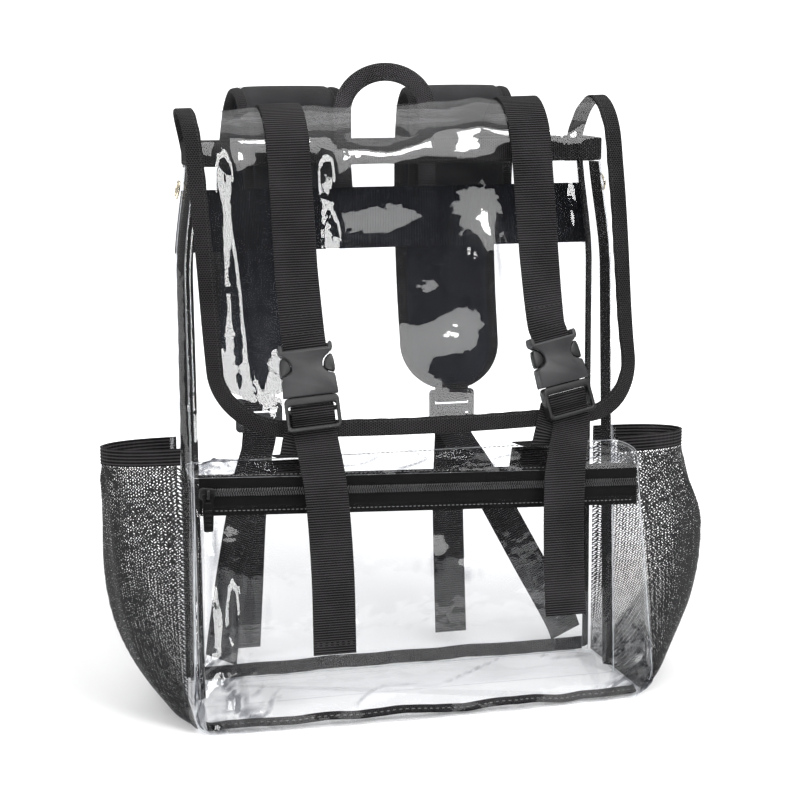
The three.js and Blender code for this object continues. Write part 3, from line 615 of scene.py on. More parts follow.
def build_mesh(name, points, faces, spreads=None, groups=None):
    """A piece from frame places, faces, UV places by corner and material numbers by face."""
    mesh = bpy.data.meshes.new(name)
    mesh.from_pydata([tuple(p) for p in points], [], faces)
    if spreads is not None:
        mesh.uv_layers.new(name="UVMap").data.foreach_set("uv", np.array(spreads, dtype=np.float32).ravel())
    if groups is not None:
        mesh.polygons.foreach_set("material_index", groups)
    piece = bpy.data.objects.new(name, mesh)
    bpy.context.collection.objects.link(piece)
    shell = bmesh.new()
    shell.from_mesh(mesh)
    bmesh.ops.recalc_face_normals(shell, faces=shell.faces)
    shell.to_mesh(mesh)
    shell.free()
    return piece


def swept(name, frames, section, groups=None, closed=False):
    """A closed band along frames of (place, sideways, outward).

    section(row) lists (sideways, outward) in mm, and groups numbers the materials round it.
    """
    rows = [section(i) for i in range(len(frames))]
    count = len(rows[0])
    points = [
        to_frame(place + side * a + outward * b)
        for (place, side, outward), row in zip(frames, rows) for a, b in row]
    run = [0.0]
    for before, after in zip(frames, [*frames[1:], frames[0]] if closed else frames[1:]):
        run.append(run[-1] + (after[0] - before[0]).length * MM)
    middle = rows[len(rows) // 2]
    round_it = [0.0]
    for j in range(count):
        round_it.append(round_it[-1] + (Vector(middle[(j + 1) % count]) - Vector(middle[j])).length * MM)
    faces, spreads, numbers = [], [], []
    for i in range(len(frames) if closed else len(frames) - 1):
        after = (i + 1) % len(frames)
        for j in range(count):
            nxt = (j + 1) % count
            faces.append((i * count + j, i * count + nxt, after * count + nxt, after * count + j))
            spreads += [(round_it[j], run[i]), (round_it[j + 1], run[i]),
                        (round_it[j + 1], run[i + 1]), (round_it[j], run[i + 1])]
            numbers.append(groups[j] if groups else 0)
    if not closed:
        for start, at in ((0, run[0]), ((len(frames) - 1) * count, run[-1])):
            faces.append(tuple(range(start, start + count)))
            spreads += [(round_it[j], at) for j in range(count)]
            numbers.append(0)
    return build_mesh(name, points, faces, spreads, numbers)


def places_of(frames):
    return [place for place, _, _ in frames]


def band_section(width, thick):
    """Section of a flat band with rounded edges, as (sideways, outward)."""
    half, edge, rise = width / 2, min(0.8, width / 12), thick / 2
    top = [(-half, 0), (-half + 0.25 * edge, 0.72 * rise), (-half + edge, rise)]
    across = [(half * share, rise) for share in (-0.55, -0.2, 0.2, 0.55)]
    upper = top + across + [(half - edge, rise), (half - 0.25 * edge, 0.72 * rise), (half, 0)]
    return upper + [(a, -b) for a, b in upper[-2:0:-1]]


def webbing(name, nodes, route, width, thick=WEB):
    """Ribbed webbing along a route: two rows of places to each rib, one high and one low."""
    settings = bpy.context.scene.pack_webbing
    depth = settings.depth / MM
    high, low = band_section(width, thick), band_section(width - depth, thick - 2 * depth)
    frames = route.frames(settings.rib / MM / 2)
    piece = swept(name, frames, lambda row: low if row % 2 else high)
    dress(piece, "ribbed_webbing")
    smooth(piece, 75)
    settle(piece, "webbing", *nodes)


def fold_section(width, tape=0.7, channel=0.9):
    """Section of a tape folded over an edge: sideways runs in from the fold, outward is its face."""
    half, inner = channel / 2 + tape, channel / 2
    flat = [(width * share, half) for share in (0.75, 0.5, 0.25)]
    face = [(width - 0.15, half - 0.35), (width - 0.5, half), *flat,
            (1.1, half), (0.45, half * 0.82), (0.1, half * 0.45)]
    outer = face + [(0, 0)] + [(a, -b) for a, b in face[::-1]]
    lining = [(width - 0.15, -inner), (width * 0.5, -inner), (tape + 0.6, -inner), (tape + 0.15, 0)]
    return outer + lining + [(a, -b) for a, b in lining[-2::-1]]


def folded_tape(name, nodes, frames, width, length=None, closed=False, channel=0.9):
    """Binding tape folded over an edge, with a slight unevenness of its width."""
    plain = fold_section(width, channel=channel)
    rib_depth = 0.1

    def section(row):
        uneven = 1 + 0.012 * math.sin(row * 0.37) + 0.008 * math.sin(row * 0.113)
        pinch = rib_depth if row % 2 else 0.0

        def pressed(b):
            return b - math.copysign(pinch, b) if abs(b) > channel / 2 + 0.3 else b

        return [(a * uneven, pressed(b)) for a, b in plain]

    piece = swept(name, frames, section, closed=closed)
    dress(piece, "binding_tape")
    smooth(piece, 75)
    settle(piece, "binding", *nodes)
    length or line_length(places_of(frames))


def seam(places, outwards, spread=1.0):
    """Stitches along a line as (place, onward, outward).

    outwards is one direction, or one for each place, and spread widens the thread's own pitch.
    """
    if isinstance(outwards, Vector):
        outwards = [outwards] * len(places)
    points, normals = np.array(places), np.array(outwards)
    lengths = running_length(points)
    count = int(lengths[-1] / (bpy.context.scene.pack_stitch.pitch / MM * spread))
    found = []
    for i in range(count):
        run = (i + 0.5) * lengths[-1] / count
        ahead, behind = (read_table(points, lengths, run + step) for step in (0.6, -0.6))
        outward = read_table(normals, lengths, run).normalized()
        found.append((read_table(points, lengths, run), (ahead - behind).normalized(), outward))
    return found


def cross_seam(place, across, outward, half):
    """Stitches straight across a strap."""
    return seam([place + across * a for a in np.linspace(-half, half, 12)], outward)


# Rings of a stitch as (share along it from its middle, share of its radius), between its two pointed ends
STITCH_RINGS = ((-0.34, 0.8), (0.0, 1.0), (0.34, 0.8))
STITCH_SIDES = 5
STITCH_WIDER = 1.25


def stitches(name, slot, lines, lift, material="thread", scale=1.0, fatness=1.0):
    """One piece of separate stitches along lines of (place, onward, outward), lifted by lift mm."""
    settings = bpy.context.scene.pack_stitch
    length, radius = settings.length / MM * scale, settings.thickness / MM / 2 * scale * fatness
    points, faces = [], []
    for place, onward, outward in lines:
        side = onward.cross(outward).normalized()
        middle = place + outward * lift
        first = len(points)
        for along, wide in STITCH_RINGS:
            for k in range(STITCH_SIDES):
                turn = 2 * math.pi * k / STITCH_SIDES
                reach = side * math.cos(turn) * STITCH_WIDER + outward * math.sin(turn)
                points.append(to_frame(middle + onward * along * length + reach * wide * radius))
        ends = len(points)
        points += [to_frame(middle + onward * end * length) for end in (-0.5, 0.5)]
        for k in range(STITCH_SIDES):
            nxt = (k + 1) % STITCH_SIDES
            faces.append((ends, first + nxt, first + k))
            for ring in (0, 1):
                base = first + ring * STITCH_SIDES
                faces.append((base + k, base + nxt, base + STITCH_SIDES + nxt, base + STITCH_SIDES + k))
            last = first + 2 * STITCH_SIDES
            faces.append((ends + 1, last + k, last + nxt))
    piece = build_mesh(name, points, faces)
    dress(piece, material)
    smooth(piece, 60)
    return settle(piece, slot) if slot else piece


# Hard pieces: drawn in millimetres on the floor of their own drawing, then carried to their place

def round_edges(piece, bevel, segments):
    return apply_modifier(
        piece, "BEVEL", width=bevel, segments=segments, limit_method="ANGLE", angle_limit=math.radians(35))


def plate(outline, low, high, crown=0.0, bevel=0.4, segments=3):
    """A plate cut to an outline, from a filled circle with a corner for each place."""
    deselect()
    bpy.ops.mesh.primitive_circle_add(vertices=len(outline), radius=1, fill_type="NGON")
    piece = bpy.context.object
    write_points(piece.data, [(x, y, low) for x, y in outline])
    edit_all(piece)
    bpy.ops.mesh.extrude_region_move(TRANSFORM_OT_translate={"value": (0, 0, high - low)})
    if crown:
        bpy.ops.mesh.inset(thickness=2.2 * crown, depth=0)
        bpy.ops.transform.translate(value=(0, 0, crown))
    end_edit()
    return round_edges(piece, bevel, segments) if bevel else piece


def ring_plate(outer, inner, low, high, bevel=0.4, segments=3):
    """A plate with a hole: two outlines of as many places, bridged and extruded."""
    deselect()
    bpy.ops.mesh.primitive_circle_add(vertices=len(outer), radius=2, fill_type="NOTHING")
    piece = bpy.context.object
    bpy.ops.object.mode_set(mode="EDIT")
    bpy.ops.mesh.primitive_circle_add(vertices=len(inner), radius=1, fill_type="NOTHING")
    bpy.ops.object.mode_set(mode="OBJECT")
    write_points(piece.data, [(x, y, low) for x, y in [*outer, *inner]])
    edit_all(piece)
    bpy.ops.mesh.bridge_edge_loops()
    bpy.ops.mesh.select_all(action="SELECT")
    bpy.ops.mesh.extrude_region_move(TRANSFORM_OT_translate={"value": (0, 0, high - low)})
    end_edit()
    return round_edges(piece, bevel, segments)


def combine(piece, others, operation="UNION"):
    """Join other solids to a piece, or cut them from it, and remove them."""
    for other in others:
        apply_modifier(piece, "BOOLEAN", object=other, operation=operation, solver="EXACT")
        bpy.data.objects.remove(other)
    return piece


def rectangle(x, y, radius, corner_steps=4):
    """A rectangle's outline with rounded corners, counted anticlockwise from the lower right."""
    left, right, low, high = x[0] + radius, x[1] - radius, y[0] + radius, y[1] - radius
    outline = []
    for k, (cx, cy) in enumerate(((right, low), (right, high), (left, high), (left, low))):
        for step in range(corner_steps + 1):
            turn = math.radians(-90 + 90 * k + 90 * step / corner_steps)
            outline.append((cx + radius * math.cos(turn), cy + radius * math.sin(turn)))
    return outline


def mirrored(right_side):
    """A closed outline from its right side, listed from the top down."""
    return [*right_side, *[(-x, y) for x, y in right_side[::-1]]]


def hard_piece(piece, name, seat, slot, cad_node, *materials, body="pack"):
    """Carry a piece drawn in millimetres to its place in the frame and settle it there."""
    piece.name = piece.data.name = name
    piece.data.transform(Matrix.Scale(MM, 4) @ Matrix.Translation(-MIDDLE) @ seat)
    dress(piece, *materials)
    smooth(piece, 32)
    settle(piece, slot, cad_node, body=body)


# Materials

def shader_tree(name):
    material = bpy.data.materials.new(name)
    material.use_nodes = True
    material.node_tree.nodes.clear()
    return material.node_tree


def node(tree, kind, inputs=None, **settings):
    """Add a node; each input is a value or another node's output."""
    made = tree.nodes.new("ShaderNode" + kind)
    for name, value in settings.items():
        setattr(made, name, value)
    for name, value in (inputs or {}).items():
        if isinstance(value, bpy.types.NodeSocket):
            tree.links.new(value, made.inputs[name])
        else:
            made.inputs[name].default_value = value
    return made


def calc(tree, operation, first, second=0.0):
    return node(tree, "Math", {0: first, 1: second}, operation=operation).outputs[0]


def total(tree, first, second):
    return calc(tree, "ADD", first, second)


def times(tree, first, second):
    return calc(tree, "MULTIPLY", first, second)


def ranged(tree, value, low, high, to_low, to_high):
    inputs = {"Value": value, "From Min": low, "From Max": high, "To Min": to_low, "To Max": to_high}
    return node(tree, "MapRange", inputs).outputs[0]


def mixed(tree, share, first, second):
    """A colour between two colours."""
    return node(tree, "Mix", {0: share, 6: first, 7: second}, data_type="RGBA").outputs[2]


def finish_tree(tree, shader):
    output = node(tree, "OutputMaterial")
    tree.links.new(shader.outputs[0], output.inputs["Surface"])


def rgba(colour, gain=1.0):
    return (*(min(1.0, channel * gain) for channel in colour), 1.0)


def object_noise(tree, scale, detail=2.0, roughness=0.5):
    place = node(tree, "TexCoord").outputs["Object"]
    inputs = {"Vector": place, "Scale": scale, "Detail": detail, "Roughness": roughness}
    return node(tree, "TexNoise", inputs).outputs["Fac"]


def spread_axes(tree):
    """The piece's own UV map, in metres across and along."""
    place = node(tree, "UVMap").outputs["UV"]
    split = node(tree, "SeparateXYZ", {"Vector": place})
    return split.outputs["X"], split.outputs["Y"]


def ripple_of(tree, value, pitch):
    """A wave along one axis with that pitch, from -1 to 1 and highest at the start."""
    return calc(tree, "COSINE", times(tree, value, 2 * math.pi / pitch))


def bump(tree, height, strength, distance):
    return node(tree, "Bump", {"Height": height, "Strength": strength, "Distance": distance}).outputs[0]


def clear_materials(settings):
    """The clear sheet and its cut edge."""
    tree = shader_tree("clear_sheet")
    normal = bump(tree, object_noise(tree, 46, 2.5, 0.5), 0.16, 0.004)
    facing = node(tree, "LayerWeight", {"Blend": 0.5, "Normal": normal}).outputs["Facing"]
    gloss = ranged(tree, calc(tree, "POWER", facing, 5.0), 0.0, 1.0, settings.gloss, 0.3)
    smears = ranged(tree, object_noise(tree, 22, 4, 0.6), 0.35, 0.75, 0.01, 0.06)
    # Painted shade: the light through the sheet is greyed where it folds, standing in for the darkening that
    # refraction gives at creases
    folds = node(tree, "Attribute", attribute_name="painted_crease_shade").outputs["Fac"]
    crease_darkening = ranged(tree, folds, 0.03, 0.2, 0.0, 0.62)
    tint_and_crease_shade = mixed(tree, crease_darkening, rgba(settings.tint), (0.36, 0.37, 0.4, 1))
    through = node(tree, "BsdfTransparent", {"Color": tint_and_crease_shade})
    shine = node(tree, "BsdfGlossy", {"Color": (1, 1, 1, 1), "Roughness": smears, "Normal": normal})
    sheet = node(tree, "MixShader", {0: gloss, 1: through.outputs[0], 2: shine.outputs[0]})
    dust = ranged(tree, object_noise(tree, 1100, 3, 0.7), 0.68, 0.8, 0.0, 0.16)
    haze = total(tree, dust, ranged(tree, object_noise(tree, 12, 3), 0.4, 0.7, 0.0, 0.002))
    film = node(tree, "BsdfDiffuse", {"Color": (0.86, 0.87, 0.9, 1)})
    finish_tree(tree, node(tree, "MixShader", {0: haze, 1: sheet.outputs[0], 2: film.outputs[0]}))

    tree = shader_tree("clear_edge")
    cloud = ranged(tree, object_noise(tree, 160, 3), 0.3, 0.7, 0.35, 0.75)
    through = node(tree, "BsdfTransparent", {"Color": (0.9, 0.92, 0.95, 1)})
    edge = node(tree, "BsdfPrincipled", {"Base Color": (0.82, 0.84, 0.87, 1), "Roughness": 0.18})
    finish_tree(tree, node(tree, "MixShader", {0: cloud, 1: through.outputs[0], 2: edge.outputs[0]}))


def woven_material(name, colour, rib, thread, light=6.2, rough=0.72, sheen=0.03, basket=0.3, shift=0.5):
    """Ribbed cloth on a UV map in metres, with ribs across the run and threads along it.

    light is how much lighter the raised ribs and threads are painted than the colour, a painted highlight on
    them over painted shade in the grooves; basket is how checked the weave is, and shift how far the threads
    move from rib to rib.
    """
    tree = shader_tree(name)
    across, along = spread_axes(tree)
    ribs = ripple_of(tree, along, rib)
    steps = times(tree, calc(tree, "FLOOR", calc(tree, "DIVIDE", along, rib)), thread * shift)
    threads = ripple_of(tree, total(tree, across, steps), thread)
    weave = total(tree, times(tree, ribs, 1 - basket), times(tree, threads, basket))
    fuzz = object_noise(tree, 700, 3, 0.65)
    normal = bump(tree, total(tree, weave, times(tree, fuzz, 0.4)), 0.8, 0.0004)
    # The tone follows the weave's relief: painted shade in the grooves and painted highlight on the ribs;
    # wear adds random tone
    wear = ranged(tree, object_noise(tree, 28, 3), 0.3, 0.7, -0.1, 0.2)
    shade = total(tree, ranged(tree, weave, -0.3, 0.8, 0, 1.0), wear)
    tone = mixed(tree, shade, rgba(colour, 0.02), rgba(colour, light))
    finish_tree(tree, node(tree, "BsdfPrincipled", {
        "Base Color": tone, "Roughness": rough, "Normal": normal, "Sheen Weight": sheen,
        "Sheen Roughness": 0.4, "Specular IOR Level": 0.12}))


def felt_material(name, colour, rib=None):
    """Felt-like cloth with loose fibres, with fine upright ribs where rib is given."""
    tree = shader_tree(name)
    fibres = object_noise(tree, 1300, 4, 0.7)
    clouds = object_noise(tree, 60, 4, 0.6)
    height = fibres
    shade = total(tree, ranged(tree, fibres, 0.3, 0.75, 0, 0.55), ranged(tree, clouds, 0.3, 0.7, 0, 0.4))
    if rib:
        # With ribs, the tone is also painted lighter on each rib and darker between them: painted highlight
        # and painted shade
        ribs = ripple_of(tree, spread_axes(tree)[0], rib)
        height = total(tree, fibres, times(tree, ribs, 0.4))
        shade = total(tree, shade, times(tree, ribs, 0.14))
    normal = bump(tree, height, 0.5, 0.0006)
    specks = ranged(tree, object_noise(tree, 650, 2, 0.5), 0.69, 0.76, 0.0, 1.0)
    tone = mixed(tree, shade, rgba(colour, 0.5), rgba(colour, 2.2))
    tone = mixed(tree, times(tree, specks, 0.5), tone, (0.2, 0.21, 0.24, 1))
    finish_tree(tree, node(tree, "BsdfPrincipled", {
        "Base Color": tone, "Roughness": 0.92, "Normal": normal, "Sheen Weight": 0.05,
        "Sheen Roughness": 0.5, "Specular IOR Level": 0.1}))


def knit_material(settings):
    """Open zigzag knit: rows of slanted eyes, every other column half a stitch lower."""
    tree = shader_tree("knit_mesh")
    across, along = spread_axes(tree)

    def squared(value, size):
        return calc(tree, "POWER", calc(tree, "ABSOLUTE", calc(tree, "DIVIDE", value, size)), 2.0)

    sway = times(tree, ripple_of(tree, along, settings.cell * 1.7), 0.16)
    column = total(tree, calc(tree, "DIVIDE", across, settings.cell), sway)
    number = calc(tree, "FLOOR", column)
    row = total(tree, calc(tree, "DIVIDE", along, settings.cell * 0.85), times(tree, number, 0.5))
    wide = calc(tree, "SUBTRACT", calc(tree, "FRACT", column), 0.5)
    high = calc(tree, "SUBTRACT", calc(tree, "FRACT", row), 0.5)
    turn = calc(tree, "SUBTRACT", times(tree, calc(tree, "PINGPONG", number, 1.0), 1.6), 0.8)
    slant = total(tree, high, times(tree, wide, turn))
    eye = total(tree, squared(wide, 0.44), squared(slant, 0.33))
    uneven = ranged(tree, object_noise(tree, 420, 2), 0.3, 0.7, -0.35, 0.45)
    yarn = ranged(tree, total(tree, eye, uneven), 0.75, 1.15, 0.0, 1.0)
    normal = bump(tree, yarn, 0.6, 0.0004)
    # Painted highlight and shade: the yarn is lighter away from the eyes and darker at their rims, as its
    # round strands would be lit
    lit = ranged(tree, eye, 0.8, 2.2, 0, 1)
    tone = mixed(tree, lit, rgba(settings.colour, 0.5), rgba(settings.colour, 2.5))
    thread = node(tree, "BsdfPrincipled", {
        "Base Color": tone, "Roughness": 0.7, "Normal": normal, "Sheen Weight": 0.04,
        "Specular IOR Level": 0.2})
    open_eye = node(tree, "BsdfTransparent", {"Color": (1, 1, 1, 1)})
    finish_tree(tree, node(tree, "MixShader", {0: yarn, 1: open_eye.outputs[0], 2: thread.outputs[0]}))


def moulded_material(name, colour, rough, metallic=0.0, grain=900.0, depth=0.00006):
    """Moulded plastic or plated metal with a fine grain and rubbed places."""
    tree = shader_tree(name)
    grains = object_noise(tree, grain, 3, 0.6)
    rubs = object_noise(tree, 55, 4, 0.6)
    tone = mixed(tree, ranged(tree, rubs, 0.35, 0.7, 0, 1), rgba(colour, 0.85), rgba(colour, 1.25))
    finish_tree(tree, node(tree, "BsdfPrincipled", {
        "Base Color": tone, "Metallic": metallic,
        "Roughness": ranged(tree, rubs, 0.3, 0.7, rough - 0.05, rough + 0.08),
        "Normal": bump(tree, grains, 0.35, depth), "Specular IOR Level": 0.5 if metallic else 0.32}))


def thread_material(name, colour):
    tree = shader_tree(name)
    twist = object_noise(tree, 2200, 2)
    tone = mixed(tree, twist, rgba(colour, 0.7), rgba(colour, 2.2))
    finish_tree(tree, node(tree, "BsdfPrincipled", {
        "Base Color": tone, "Roughness": 0.55, "Normal": bump(tree, twist, 0.4, 0.0001)}))


def floor_material(colour):
    """Pale paper with a painted glow: emission that stands in for light, so that the far floor is white."""
    tree = shader_tree("studio_floor")
    paper = ranged(tree, object_noise(tree, 3, 2), 0.3, 0.7, 0.985, 1.0)
    tone = mixed(tree, paper, rgba(colour, 0.98), rgba(colour))
    matt = node(tree, "BsdfDiffuse", {"Color": tone})
    place = node(tree, "TexCoord").outputs["Object"]
    far = node(tree, "VectorMath", {0: place}, operation="LENGTH").outputs["Value"]
    # Painted light: the glow is weak near the bag and full a metre away, so the floor is darker near the bag
    strength = ranged(tree, far, 0.28, 1.0, 0.11, 1.0)
    painted_floor_glow = node(tree, "Emission", {"Color": (1, 1, 1, 1), "Strength": strength})
    finish_tree(tree, node(tree, "AddShader", {0: matt.outputs[0], 1: painted_floor_glow.outputs[0]}))


class BACKPACK_OT_materials(bpy.types.Operator):
    """Make the finishes of the clear sheet, cloth, plastic and metal."""
    bl_idname = "backpack.materials"
    bl_label = "Finishes"

    def execute(self, context):
        scene = context.scene
        clear_materials(scene.pack_clear)
        cloth = scene.pack_webbing
        # Each cloth's light sets its painted highlight on ribs and threads over painted shade in the grooves
        woven_material("ribbed_webbing", cloth.colour, cloth.rib, 0.0011)
        woven_material("binding_tape", cloth.tape, 0.0015, 0.0019, light=8.0, basket=0.55)
        woven_material("handle_tape", cloth.handle, 0.0012, 0.0016, light=5.0, basket=0.55)
        hardware, padding = scene.pack_hardware, scene.pack_padding
        woven_material("zip_tape_cloth", hardware.coil, 0.0008, 0.0007, light=2.0, rough=0.8, basket=0.5)
        woven_material("elastic", cloth.tape, 0.0008, 0.0025, light=10.0, basket=0.75, shift=0.0)
        woven_material("pad_nylon", padding.nylon, 0.0008, 0.0007, light=2.6, rough=0.55, basket=0.5)
        felt_material("felt_cloth", padding.felt)
        felt_material("band_cloth", padding.band, rib=0.0016)
        knit_material(scene.pack_mesh)
        moulded_material("buckle_plastic", hardware.plastic, 0.42)
        # plug_plastic is darker than buckle_plastic: painted shade on the buckles' plugs
        moulded_material("plug_plastic", hardware.plug, 0.34)
        # The lighter loops carry a painted highlight
        moulded_material("coil_loop_highlight", hardware.loops, 0.26, grain=500)
        moulded_material("coil_nylon", hardware.coil, 0.22, grain=500)
        moulded_material("eyelet_plate", hardware.brass, 0.22, metallic=1.0, grain=300)
        thread_material("thread", scene.pack_stitch.colour)
        # The thread is black; this pale copy paints the glints at the stitch holes in the clear sheet
        thread_material("thread_painted_glint", (0.13, 0.13, 0.135))
        return {"FINISHED"}


# Clear sheets

class BACKPACK_OT_body(bpy.types.Operator):
    """Model the clear walls of the body and its base."""
    bl_idname = "backpack.body"
    bl_label = "Body"

    # Each wall with its rough width in millimetres
    WALLS = (("front_panel", 316), ("side_panel_right", 68), ("back_panel", 316), ("side_panel_left", 68))

    def execute(self, context):
        wave = context.scene.pack_clear.wave / MM
        height = BODY.top_z - BODY.foot_z
        for wall, (name, width) in enumerate(self.WALLS):
            def surface(u, v, wall=wall):
                return body_point(wall, lerp(TRIM, 1 - TRIM, u), lerp(BODY.foot_z, BODY.top_z, v))

            def ripple(u, v, wall=wall, width=width):
                x, y = u * width, v * height
                fade = edge_fade(u, v, 0.1 if width > 100 else 0.25, 0.06)
                sag = 0.5 + 0.5 * waves(x, y * 0.6, 3.1 + wall, 70)
                fine = creases(x, y * 0.5, 8.7 + wall, 42) * 0.35
                return -fade * (wave * sag + wave * 0.5 * fine)

            clear_sheet(name, surface, (width, height), ripple, "hung", ["rim_binding_tape"])
        self.base()
        return {"FINISHED"}

    @staticmethod
    def base():
        """The floor of the bag: one outline round the walls' feet with a raised hem."""
        z = BODY.foot_z
        places = [pocket_front(t, z) for t in np.linspace(0, 1, 70)]
        places += [pocket_side(1, t, z) for t in np.linspace(0.1, 0.8, 8)]
        places += [body_point(1, t, z) for t in np.linspace(0.2, 1, 12)]
        places += [body_point(2, t, z) for t in np.linspace(0.02, 1, 40)]
        places += [body_point(3, t, z) for t in np.linspace(0.04, 0.8, 12)]
        places += [pocket_side(-1, t, z) for t in np.linspace(0.8, 0.1, 8)]
        outline = [(p.x, p.y) for p in places]
        piece = plate(outline, 0.0, 0.9, bevel=0.25, segments=2)
        edit_all(piece)
        bpy.ops.mesh.select_all(action="DESELECT")
        shell = bmesh.from_edit_mesh(piece.data)
        for face in shell.faces:
            face.select_set(face.normal.z > 0.9 and face.calc_area() > 5000)
        shell.select_flush_mode()
        bmesh.update_edit_mesh(piece.data)
        bpy.ops.mesh.inset(thickness=9, depth=0)
        bpy.ops.mesh.inset(thickness=0.8, depth=-0.3)
        bpy.ops.object.mode_set(mode="OBJECT")
        hard_piece(piece, "base_panel_sheet", Matrix.Identity(4), "clear_pvc", "base_panel", "clear_sheet",
                   "clear_edge")
        for face in piece.data.polygons:
            face.material_index = int(abs(face.normal.z) < 0.5)


class BACKPACK_OT_pocket(bpy.types.Operator):
    """Model the clear front, sides and top of the front pocket."""
    bl_idname = "backpack.pocket"
    bl_label = "Front pocket"

    # Rough sizes of the sheets in millimetres
    FRONT, SIDE, TOP = (345, 146), (46, 160), (330, 42)
    # Soft bulges of the front as (place across WIDE, height, half width, half height, depth) in millimetres
    WIDE = 340
    BULGES = (
        (176, 104, 11, 17, 4.4), (62, 78, 10, 24, 4.6), (52, 116, 15, 15, 3.2), (192, 96, 8, 10, 2.4),
        (250, 84, 14, 16, 3.6), (118, 60, 22, 12, 2.8),
    )

    def execute(self, context):
        wave = context.scene.pack_clear.wave / MM

        def front(u, v):
            t = lerp(TRIM, 1 - TRIM, u)
            x = pocket_front(t, POCKET.top_z).x
            top_z = zip_z(x) - ZIP.teeth / 2 - 2 * GAP - ZIP.tape - GAP
            return pocket_front(t, lerp(BODY.foot_z, top_z, v))

        def front_ripple(u, v):
            x, y = u * self.WIDE, v * self.FRONT[1]
            fade = edge_fade(u, v, 0.06, 0.12)
            soft = 0.75 * wave * waves(x, y, 1.7, 75) + 0.2 * wave * waves(x, y, 5.3, 26)
            corner = smoothstep(x, 92, 34) + smoothstep(x, 264, 306)
            low = smoothstep(y, 70, 12)
            bulge = bulged(x, y, self.BULGES)
            crush = corner * low * (4.2 * creases(x, y, 2.2, 19) - 1.6 + 1.6 * waves(x, y, 9.4, 10))
            streak = 1.8 * smoothstep(x, 76, 30) * creases(x * 2.2, y * 0.3, 3.7, 26)
            hem = 0.9 * low * creases(x * 0.4, y, 4.6, 20)
            return fade * (soft + hem + streak + bulge) + edge_fade(u, v, 0.02, 0.04) * crush

        clear_sheet("pocket_front", front, self.FRONT, front_ripple, "hung", ["zip_tape_lower_cloth"],
                    finer=1.5)

        for side, hand in SIDES.items():
            def flank(u, v, hand=hand):
                t = lerp(2 * TRIM, 1, u if hand > 0 else 1 - u)
                x = pocket_side(hand, t, POCKET.top_z).x
                return pocket_side(hand, t, lerp(BODY.foot_z, pocket_top_z(x, 1 - t) - 1.6, v))

            def flank_ripple(u, v, hand=hand):
                soft = 0.6 + 0.6 * waves(u * 45, v * 100, 6.1 + hand, 34)
                return -edge_fade(u, v, 0.2, 0.1) * wave * soft

            clear_sheet(f"pocket_side_{side}", flank, self.SIDE, flank_ripple, "hung", ["pocket_top_sheet"])

        def top(u, v):
            return pocket_top(1 - 2 * u, v)

        def top_ripple(u, v):
            x, y = u * self.TOP[0], v * self.TOP[1]
            fade = edge_fade(u, v, 0.03, 0.16)
            ends = smoothstep(abs(u - 0.5), 0.34, 0.46)
            soft = 0.5 * waves(x, y, 7.9, 48) + 0.3 * waves(x, y, 3.3, 19)
            return fade * wave * (soft + 0.9 * creases(x * 0.45, y, 6.4, 20)
                                  + ends * (1.9 * creases(x, y, 1.1, 15) - 0.7 + 0.8 * waves(x, y, 4.2, 7)))

        clear_sheet("pocket_top", top, self.TOP, top_ripple, "stretched", ["front_panel_sheet"], finer=1.7)
        return {"FINISHED"}


class BACKPACK_OT_flap(bpy.types.Operator):
    """Model the clear flap and the tape that binds its edge."""
    bl_idname = "backpack.flap"
    bl_label = "Flap"

    # Soft bulges as (x, run, half width, half height, depth) in millimetres
    BULGES = (
        (-70, 118, 85, 20, 3.8), (-38, 165, 50, 27, 5.2), (52, 182, 20, 30, 7.2), (-130, 180, 10, 75, 4.4),
        (20, 244, 26, 22, 3.0), (122, 150, 13, 42, 4.4), (0, 206, 15, 15, 2.0), (38, 226, 8, 20, 1.8),
    )

    def execute(self, context):
        wave = context.scene.pack_clear.wave / MM
        inset = FLAP.hidden
        length = FLAP_LENGTH - inset

        def surface(u, v):
            run = v * length
            return flap_point((1 - 2 * u) * flap_half(run, inset), run)

        def ripple(u, v):
            run = v * length
            x = (1 - 2 * u) * flap_half(run, inset)
            bulge = bulged(x, run, self.BULGES)
            edge = min(flap_half(run, 0) - abs(x), FLAP_LENGTH - run)
            fade = smoothstep(edge, 14, 38) * smoothstep(run, 20, 44)
            under = 1.0
            for strap in STRAPS.values():
                under = min(under, smoothstep(abs(x - strap_x(strap, run)), 16, 34))
            soft = waves(x, run * 0.7, 2.4, 62) * 0.6 + waves(x, run * 0.8, 9.1, 27) * 0.3
            folds = 0.7 * creases(x, run * 0.45, 6.6, 46) * smoothstep(run, 90, 40)
            crest = 4.2 * waves(x, run * 1.3, 12.3, 34) * smoothstep(run, 40, 56) * smoothstep(run, 112, 92)
            return fade * under * (wave * (soft + folds) + bulge + crest)

        clear_sheet("flap", surface, (2 * FLAP.half, FLAP_LENGTH), ripple, "draped", ["rim_binding_tape"])

        frames = []
        for (x, run), (inward_x, inward_run) in flap_outline():
            right, up, out = flap_axes(x, run)
            frames.append((flap_point(x, run), right * inward_x - up * inward_run, out))
        folded_tape("flap_binding_tape", ["flap_binding"], self.denser(frames), FLAP.binding,
                    length=line_length(places_of(frames)))
        lines = []
        for face in (1, -1):
            sewn = [p + inward * (FLAP.binding - 2.2) for p, inward, _ in frames]
            lines += seam(sewn, [out * face for _, _, out in frames])
        stitches("flap_binding_stitches", "binding", lines, 1.12)
        return {"FINISHED"}

    @staticmethod
    def denser(frames):
        """The same frames at an even, close spacing, so that the tape's ribs are even."""
        tables = [np.array([f[k] for f in frames]) for k in range(3)]
        lengths = running_length(tables[0])
        runs = np.linspace(0, lengths[-1], round(lengths[-1] / TAPE_ROW))
        read = [[read_table(table, lengths, run) for run in runs] for table in tables]
        return [(place, side.normalized(), out.normalized()) for place, side, out in zip(*read)]


